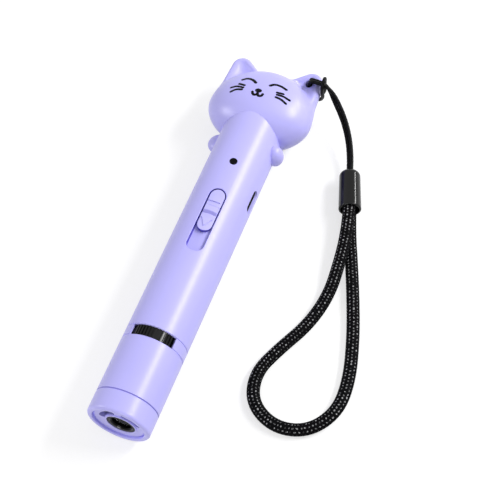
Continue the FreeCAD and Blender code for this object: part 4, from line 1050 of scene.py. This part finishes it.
@dataclass
class Lanyard:
    """The thin tether through the ear, the bead, and the braided wrist loop."""

    strand_apart: tuple[float, float] = (0.57, 0.51)
    tether_way: list[Point] = field(default_factory=lambda: [
        (38.493, 39.515, 4.1), (37.2, 43.3, 4.1), (35.2, 49.8, 4.7), (32.4, 56.4, 6.5),
        (28.4, 62.6, 9.0), (23.4, 67.9, 12.0)])
    ear_y: float = 71.2
    hitch: list[Point] = field(default_factory=lambda: [
        (20.9, -1.4, 14.3), (18.7, -1.05, 15.6), (16.7, -1.25, 16.05), (14.6, -1.45, 16.7),
        (12.7, -1.02, 15.3), (12.7, -1.02, 6.9), (14.6, -1.2, 6.1), (16.9, -1.2, 6.7),
        (18.15, -1.8, 9.5), (18.3, -2.6, 12.6), (18.6, -2.7, 16.6), (18.8, -1.0, 18.2),
        (18.5, 1.1, 17.0), (17.75, 2.1, 13.6), (17.6, 2.4, 9.6), (16.8, 2.3, 6.2),
        (14.5, 1.6, 5.3), (12.7, 0.44, 6.9), (12.7, 0.44, 15.1), (14.4, -0.1, 15.85),
        (16.6, 0.05, 15.35), (18.5, 0.2, 14.6), (20.5, -0.6, 12.9)])
    wrist_way: list[Point] = field(default_factory=lambda: [
        (40.272, 34.31, 5.72), (42.309, 28.349, 5.72), (45.0, 16.4, 5.0), (46.1, 6.2, 4.3),
        (46.3, -5.4, 1.65), (43.6, -18.6, 1.65), (37.3, -30.6, 1.65), (32.9, -41.2, 1.65),
        (35.6, -52.0, 1.65), (45.6, -58.0, 1.65), (56.6, -56.0, 1.65), (63.4, -46.6, 1.65),
        (63.4, -34.2, 1.65), (59.4, -18.6, 1.65), (54.2, -3.6, 1.65), (48.9, 10.2, 1.65),
        (45.6, 18.4, 1.85), (42.309, 28.349, 2.48), (40.272, 34.31, 2.48)])

    def strand(self, shift: float) -> list[Point]:
        """One of the tether's two strands, beside the middle line.

        Args:
            shift: 1 for the higher strand on the right, -1 for the other.

        Returns:
            The strand's points, from the bead to the ear.
        """
        made = []
        way = self.tether_way
        beside, above = (part * shift for part in self.strand_apart)
        for before, (x, y, z), after in zip([way[0], *way], way, [*way[1:], way[-1]]):
            run_x, run_y = after[0] - before[0], after[1] - before[1]
            length = math.hypot(run_x, run_y)
            made.append((x + run_y / length * beside, y - run_x / length * beside, z + above))
        return made

    def tether(self) -> bpy.types.Object:
        """Make the round cord: up from the bead, hitched through the ear, and back down beside itself.

        Returns:
            The cord.
        """
        route = (self.strand(1) + [(x, y + self.ear_y, z) for x, y, z in self.hitch]
                 + self.strand(-1)[::-1])
        cord, path = Braid(CordLine("tether", route, step=0.22), half_wide=0.7, half_high=0.7, strands=4,
                           pitch=1.5, depth=0.16, around=20, level=False).build()
        dress(cord, Finish.CORD.material())
        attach(cord, BODY)
        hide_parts("tether_cord")
        return cord

    def wrist_loop(self) -> bpy.types.Object:
        """Make the flat braided loop, both ends in the bead.

        Returns:
            The cord.
        """
        loop, path = Braid(CordLine("wrist_braid", self.wrist_way, step=0.2), half_wide=2.25, half_high=1.6,
                           strands=12, pitch=1.25, depth=0.09, around=60, level=True).build()
        dress(loop, Finish.BRAID.material())
        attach(loop, BODY)
        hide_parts("wrist_loop")
        return loop

    def build(self, nodes: dict[str, bpy.types.Object]) -> None:
        """Make both cords and dress the bead.

        Args:
            nodes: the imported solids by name.
        """
        for cord in (self.tether(), self.wrist_loop()):
            log.info("%s: %d faces", cord.name, len(cord.data.polygons))
        dress(nodes["lanyard_bead"], Finish.BEAD_BLACK.material())
        dress(nodes["lanyard_core"], Finish.CHIP.material())


# Cat head


def soft_least(first: np.ndarray, second: np.ndarray, width: float) -> np.ndarray:
    """The lesser of two distances, with a fillet of the given width where they meet."""
    share = np.clip(0.5 + 0.5 * (second - first) / width, 0, 1)
    return second * (1 - share) + first * share - width * share * (1 - share)


def soft_most(first: np.ndarray, second: np.ndarray, width: float) -> np.ndarray:
    """The greater of two distances, with a rounding of the given width where they meet."""
    return -soft_least(-first, -second, width)


@dataclass
class CatHead:
    """One smooth head with two ears, an opening for the barrel's neck and a hole in the right ear.

    The egg's radii are its half width, its reach to the ears and to the neck, and its half height. The
    scarf is the slanting joint at the neck: its y on the pen's axis, and its slope. The hump is the
    barrel's round that shows through the head's front, and the rough head has a thinner stub for it.
    """

    middle: Point = (-0.7, 53.685, 11.332)
    radii: tuple[float, float, float, float] = (19.617, 17.685, 13.527, 12.362)
    tube_radius: float = 11.0
    tenon_radius: float = 10.0
    tenon_end: float = 56.22
    clearance: float = 0.02
    hump_end: float = 49.7
    hump_past_scarf: float = 1.0
    hump_fillet: float = 0.5
    floor_round: float = 0.8
    scarf: tuple[float, float] = (45.7, 0.275)
    ear_corners: list[tuple[float, float]] = field(default_factory=lambda: [
        (13.859, 72.0), (14.609, 59.0), (4.0, 52.0), (2.169, 62.2)])
    ear_round: float = 3.962
    ear_mid: float = 11.5
    ear_half: float = 3.2
    ear_edge: float = 2.3
    dent_inset: float = 1.8
    dent_slopes: tuple[float, float] = (0.5, 1.5)
    dent_turn: tuple[float, float] = (9.0, 15.0)
    dent_depth: float = 2.1
    dent_round: tuple[float, float] = (1.5, 1.1)
    fillet: float = 1.533
    hole: tuple[float, float, float] = (12.7, 70.9, 1.6)
    voxel: float = 0.42
    rough_inset: float = 0.1
    stub_inset: float = 0.3
    stub_short: tuple[float, float] = (14.4, 0.4)
    cutter: float = 30.0
    passes: int = 9
    longest_step: float = 0.8

    def ellipsoid(self, place: np.ndarray, radii: np.ndarray) -> np.ndarray:
        """Near enough the distance from an ellipsoid's skin, for points measured from its middle."""
        outer = np.linalg.norm(place / radii, axis=1)
        inner = np.linalg.norm(place / radii ** 2, axis=1)
        return outer * (outer - 1) / np.maximum(inner, 1e-9)

    def ear(self, place: np.ndarray) -> np.ndarray:
        """The distance from the nearer ear: a rounded outline, thick, with rounded edges and a hollow.

        Args:
            place: points in millimetres, one row each.

        Returns:
            One distance for each point.
        """
        flat = np.stack([np.abs(place[:, 0] - self.middle[0]), place[:, 1]], 1)
        corners = np.array(self.ear_corners)
        best = np.full(len(flat), 1e9)
        inside = np.full(len(flat), -1e9)
        for here, there in zip(corners, np.roll(corners, -1, axis=0)):
            edge = there - here
            off = flat - here
            share = np.clip(off @ edge / (edge @ edge), 0, 1)
            best = np.minimum(best, np.linalg.norm(off - share[:, None] * edge, axis=1))
            normal = np.array([-edge[1], edge[0]]) / np.linalg.norm(edge)
            inside = np.maximum(inside, off @ normal)
        outline = np.where(inside < 0, -best, best) - self.ear_round
        across = outline + self.ear_edge
        thick = np.abs(place[:, 2] - self.ear_mid) - self.ear_half + self.ear_edge
        pad = (np.minimum(np.maximum(across, thick), 0)
               + np.hypot(np.maximum(across, 0), np.maximum(thick, 0)) - self.ear_edge)
        down = self.ear_mid + self.ear_half - place[:, 2]
        slope = np.interp(flat[:, 0], self.dent_turn, self.dent_slopes)
        wall = (outline + self.dent_inset + down * slope) / np.hypot(1, slope)
        foot, brim = self.dent_round
        return soft_most(pad, -soft_most(wall, down - self.dent_depth, foot), brim)

    def skin(self, place: np.ndarray) -> np.ndarray:
        """The distance of points from the head's skin, below zero inside.

        Args:
            place: points in millimetres, one row each.

        Returns:
            One distance for each point.
        """
        off = place - np.array(self.middle)
        wide, far, near, high = self.radii
        radii = np.stack([np.full(len(off), wide), np.where(off[:, 1] > 0, far, near),
                          np.full(len(off), high)], 1)
        egg = self.ellipsoid(off, radii)
        skin = soft_least(egg, self.ear(place), self.fillet)
        radial = np.hypot(place[:, 0], place[:, 2] - self.tube_radius) - self.tube_radius
        hump = np.maximum(radial, np.maximum(place[:, 1] - self.hump_end,
                                             self.below_scarf(place) - self.hump_past_scarf))
        return soft_most(soft_least(skin, hump, self.hump_fillet), -place[:, 2], self.floor_round)

    def below_scarf(self, place: np.ndarray) -> np.ndarray:
        """How far points lie on the barrel's side of the slanting joint at the neck."""
        middle, slope = self.scarf
        return (middle + slope * (place[:, 2] - self.tube_radius) - place[:, 1]) / math.hypot(1, slope)

    def rough_ear(self, side: int) -> bpy.types.Object:
        """Block out one ear from a circle that is stretched between its corners and pulled up.

        Args:
            side: 1 for the right ear, -1 for the left.

        Returns:
            The ear.
        """
        bpy.ops.mesh.primitive_circle_add(vertices=56, radius=1.0, fill_type="NGON")
        ear = bpy.context.active_object
        outline = np.array(self.ear_corners)
        half = self.ear_half - self.rough_inset
        for vertex in ear.data.vertices:
            way = np.array(vertex.co[:2])
            x, y = outline[np.argmax(outline @ way)] + way * (self.ear_round - self.rough_inset)
            vertex.co = (self.middle[0] + x * side, y, self.ear_mid - half)
        bpy.ops.object.mode_set(mode="EDIT")
        bpy.ops.mesh.select_all(action="SELECT")
        bpy.ops.mesh.extrude_region_move(TRANSFORM_OT_translate={"value": (0, 0, 2 * half)})
        bpy.ops.mesh.select_all(action="SELECT")
        bpy.ops.mesh.normals_make_consistent(inside=False)
        pick(ear, lambda normal: abs(normal.z) > 0.9)
        bpy.ops.mesh.bevel(offset=self.ear_edge * 0.8, segments=3, affect="EDGES")
        bpy.ops.object.mode_set(mode="OBJECT")
        return ear

    def rough(self) -> bpy.types.Object:
        """Block out the head from an egg, two ears and a stub of neck, and melt them into one skin.

        Returns:
            The rough head.
        """
        bpy.ops.mesh.primitive_uv_sphere_add(segments=64, ring_count=48, radius=1.0)
        head = bpy.context.active_object
        head.name = "cat_head"
        wide, far, near, high = self.radii
        for vertex in head.data.vertices:
            x, y, z = vertex.co
            vertex.co = (self.middle[0] + x * wide, self.middle[1] + y * (far if y > 0 else near),
                         self.middle[2] + z * high)
        start, end = (self.hump_end - short for short in self.stub_short)
        parts = [head, self.rough_ear(-1), self.rough_ear(1),
                 rod(self.tube_radius - self.stub_inset, (start, end), self.tube_radius, 72)]
        bpy.ops.object.select_all(action="DESELECT")
        for part in parts:
            part.select_set(True)
        bpy.context.view_layer.objects.active = head
        bpy.ops.object.join()
        melt = head.modifiers.new("melt", "REMESH")
        melt.mode = "VOXEL"
        melt.voxel_size = self.voxel
        apply_modifiers(head)
        return head

    def draw_to_skin(self, head: bpy.types.Object) -> None:
        """Move every point of the rough head to the skin, step by step along the skin's slope.

        Args:
            head: the rough head.
        """
        points = np.empty(len(head.data.vertices) * 3, np.float32)
        head.data.vertices.foreach_get("co", points)
        points = points.reshape(-1, 3).astype(float)
        small = 0.02
        for _ in range(self.passes):
            away = self.skin(points)
            slope = np.stack([(self.skin(points + step) - self.skin(points - step)) / (2 * small)
                              for step in np.eye(3) * small], 1)
            steep = np.maximum((slope ** 2).sum(1), 0.2)
            points -= slope * (np.clip(away, -self.longest_step, self.longest_step) / steep)[:, None]
        head.data.vertices.foreach_set("co", points.astype(np.float32).ravel())
        head.data.update()

    def openings(self) -> list[bpy.types.Object]:
        """Make the cutters for the ear hole, the neck and the barrel's tenon.

        Returns:
            The cutters.
        """
        at_x, at_y, radius = self.hole
        bpy.ops.mesh.primitive_cylinder_add(vertices=48, radius=radius, depth=self.cutter,
                                            location=(at_x, at_y, self.ear_mid))
        hole = bpy.context.active_object
        middle, slope = self.scarf
        neck = rod(self.tube_radius + self.clearance, (-5.0, 55.0), self.tube_radius, 160)
        bpy.ops.object.transform_apply(location=True, rotation=True, scale=True)
        bpy.ops.object.mode_set(mode="EDIT")
        bpy.ops.mesh.select_all(action="SELECT")
        bpy.ops.mesh.bisect(plane_co=(0, middle, self.tube_radius), plane_no=(0, 1, -slope),
                            use_fill=True, clear_outer=True)
        bpy.ops.object.mode_set(mode="OBJECT")
        tenon = rod(self.tenon_radius + self.clearance, (self.tenon_end - self.cutter, self.tenon_end),
                    self.tube_radius, 96)
        return [hole, neck, tenon]

    def build(self) -> bpy.types.Object:
        """Make the head.

        Returns:
            The finished head, in metres.
        """
        head = self.rough()
        self.draw_to_skin(head)
        carve(head, self.openings())
        settle(head)
        take(head)
        bpy.ops.object.shade_smooth_by_angle(angle=math.radians(38))
        dress(head, Finish.LILAC.material())
        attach(head, BODY)
        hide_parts("head_front_shell", "head_back_shell")
        log.info("cat_head: %d faces", len(head.data.polygons))
        return head


@dataclass
class FaceMarks:
    """The printed face: two closed eyes, a nose, a mouth and six whiskers, lying on the head.

    Each stroke has half its width and the points where it goes. `ink` is the share of a mark's own
    height that stays, and `above` is a height over the whole head, from which its skin is looked for.
    """

    nose_at: tuple[float, float] = (-0.42, 55.2)
    nose_half: Point = (1.3, 0.95, 0.5)
    ink: float = 0.12
    lift: float = 0.02
    above: float = 60.0
    strokes: dict[str, tuple[float, list[tuple[float, float]]]] = field(default_factory=lambda: {
        "eye_left": (0.56, [(-8.46, 59.56), (-6.87, 60.37), (-4.82, 60.06), (-2.83, 58.72)]),
        "eye_right": (0.56, [(2.64, 59.0), (3.84, 60.15), (5.89, 60.47), (8.29, 59.91)]),
        "mouth_left": (0.5, [(-2.35, 54.1), (-1.95, 53.3), (-1.25, 53.0), (-0.6, 53.25), (-0.32, 54.0)]),
        "mouth_right": (0.5, [(-0.32, 54.0), (0.02, 53.25), (0.68, 52.95), (1.3, 53.2), (1.65, 54.0)]),
        "whisker_left_top": (0.47, [(-8.75, 57.13), (-6.43, 56.58)]),
        "whisker_left_mid": (0.47, [(-11.3, 55.18), (-9.15, 55.75), (-6.5, 55.39)]),
        "whisker_left_low": (0.47, [(-10.61, 53.12), (-8.91, 54.18), (-6.66, 54.4)]),
        "whisker_right_top": (0.47, [(6.05, 56.83), (8.2, 57.27)]),
        "whisker_right_mid": (0.47, [(6.41, 55.85), (8.61, 56.17), (11.03, 55.82)]),
        "whisker_right_low": (0.47, [(6.41, 54.64), (8.32, 54.51), (10.36, 53.77)]),
    })

    def lay_down(self, mark: bpy.types.Object, skin: BVHTree) -> None:
        """Lay a mark, drawn about z = 0 in millimetres, on the head's skin, and give it its finish.

        Args:
            mark: the mark.
            skin: the head's faces in metres, for finding its height.
        """
        for vertex in mark.data.vertices:
            x, y, z = vertex.co
            hit = skin.ray_cast(Vector((x, y, self.above)) * MM, Vector((0, 0, -1)))[0]
            vertex.co = (x, y, hit.z / MM + self.lift + z * self.ink)
        settle(mark)
        take(mark)
        bpy.ops.object.shade_smooth()
        dress(mark, Finish.INK.material())
        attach(mark, BODY)

    def stroke(self, name: str, half: float, points: Sequence[tuple[float, float]]) -> bpy.types.Object:
        """Draw one stroke as a round-ended line.

        Args:
            name: the piece's name.
            half: half its width.
            points: where it goes, seen from the face.

        Returns:
            The stroke as a mesh about z = 0.
        """
        curve = bpy.data.curves.new(name, "CURVE")
        curve.dimensions = "3D"
        curve.resolution_u = 16
        curve.bevel_depth = half
        curve.bevel_resolution = 4
        curve.use_fill_caps = True
        spline = curve.splines.new("BEZIER")
        spline.bezier_points.add(len(points) - 1)
        for handle, (x, y) in zip(spline.bezier_points, points):
            handle.co = (x, y, 0.0)
            handle.handle_left_type = handle.handle_right_type = "AUTO"
        obj = bpy.data.objects.new(name, curve)
        bpy.context.scene.collection.objects.link(obj)
        take(obj)
        bpy.ops.object.convert(target="MESH")
        obj = bpy.context.active_object
        for x, y in (points[0], points[-1]):
            bpy.ops.mesh.primitive_uv_sphere_add(segments=20, ring_count=12, radius=half,
                                                 location=(x, y, 0.0))
            bpy.ops.object.transform_apply(location=True)
            obj.select_set(True)
            bpy.context.view_layer.objects.active = obj
            bpy.ops.object.join()
        return obj

    def build(self, head: bpy.types.Object) -> None:
        """Draw every mark on the head.

        Args:
            head: the finished head, in metres.
        """
        skin = BVHTree.FromPolygons([v.co for v in head.data.vertices],
                                    [p.vertices[:] for p in head.data.polygons])
        for name, (half, points) in self.strokes.items():
            self.lay_down(self.stroke(name, half, points), skin)
        bpy.ops.mesh.primitive_uv_sphere_add(segments=32, ring_count=16, radius=1.0)
        nose = bpy.context.active_object
        nose.name = "nose"
        wide, long, high = self.nose_half
        for vertex in nose.data.vertices:
            x, y, z = vertex.co
            vertex.co = (self.nose_at[0] + x * wide, self.nose_at[1] + y * long, z * high)
        self.lay_down(nose, skin)
        log.info("face: %d strokes and a nose", len(self.strokes))


# Pieces that keep their solids


@dataclass
class SolidGroup:
    """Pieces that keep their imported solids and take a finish."""

    finishes: dict[Finish, tuple[str, ...]]

    def build(self, nodes: dict[str, bpy.types.Object]) -> None:
        """Dress the group's pieces.

        Args:
            nodes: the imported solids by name.
        """
        for finish, pieces in self.finishes.items():
            for name in pieces:
                dress(nodes[name], finish.material())
                log.info("%s: %s", name, finish.value.name)


@dataclass
class Housing(SolidGroup):
    """The lilac outside: cap, sleeve, collar, barrel and paws."""

    finishes: dict[Finish, tuple[str, ...]] = field(default_factory=lambda: {
        Finish.BARREL_LILAC: ("front_cap", "front_sleeve", "wheel_collar", "barrel_tube", "paw_left",
                              "paw_right")})


@dataclass
class Controls(SolidGroup):
    """What a finger, a plug or the beam meets: knob, wheel with its films, dot, port and lens ring."""

    finishes: dict[Finish, tuple[str, ...]] = field(default_factory=lambda: {
        Finish.KNOB_LILAC: ("switch_knob",),
        Finish.GREY: ("switch_retainer", "switch_lever"),
        Finish.WHEEL_BLACK: ("pattern_wheel",),
        Finish.DOT_BLACK: ("indicator_lens",),
        Finish.PORT_BLACK: ("usb_socket", "usb_tongue"),
        Finish.RING_BLACK: ("lens_ring",),
        Finish.FILM: ("pattern_film_1", "pattern_film_2", "pattern_film_3", "pattern_film_4")})


@dataclass
class Insides(SolidGroup):
    """The working parts that the housing holds."""

    finishes: dict[Finish, tuple[str, ...]] = field(default_factory=lambda: {
        Finish.LENS: ("lens_window", "collimator_lens"),
        Finish.BOARD: ("led_board", "laser_driver_board", "circuit_board"),
        Finish.WHITE_LAMP: ("white_led", "indicator_led"),
        Finish.VIOLET_LAMP: ("uv_led",),
        Finish.BRASS: ("led_ribbon", "laser_housing", "lens_spacer"),
        Finish.GREY: ("wheel_carriage", "tail_plug"),
        Finish.STEEL: ("wheel_axle", "laser_diode", "laser_pin_left", "laser_pin_right",
                       "slide_switch_body", "battery_tab_front", "battery_tab_back"),
        Finish.CHIP: ("control_chip", "charge_chip", "charge_coil"),
        Finish.CELL: ("battery_cell",),
        Finish.FOAM: ("battery_pad",)})


def corners() -> list[list[float]]:
    """The shown object's lowest and highest corners as plain lists."""
    return [list(corner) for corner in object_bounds()]


def main() -> None:
    """Build the studio, then the pointer piece by piece."""
    logging.basicConfig(level=logging.INFO, format="%(message)s")
    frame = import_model()
    nodes = frame["nodes"]
    Studio().build()
    Lanyard().build(nodes)
    FaceMarks().build(CatHead().build())
    for group in (Housing(), Controls(), Insides()):
        group.build(nodes)


if __name__ == "__main__":
    main()
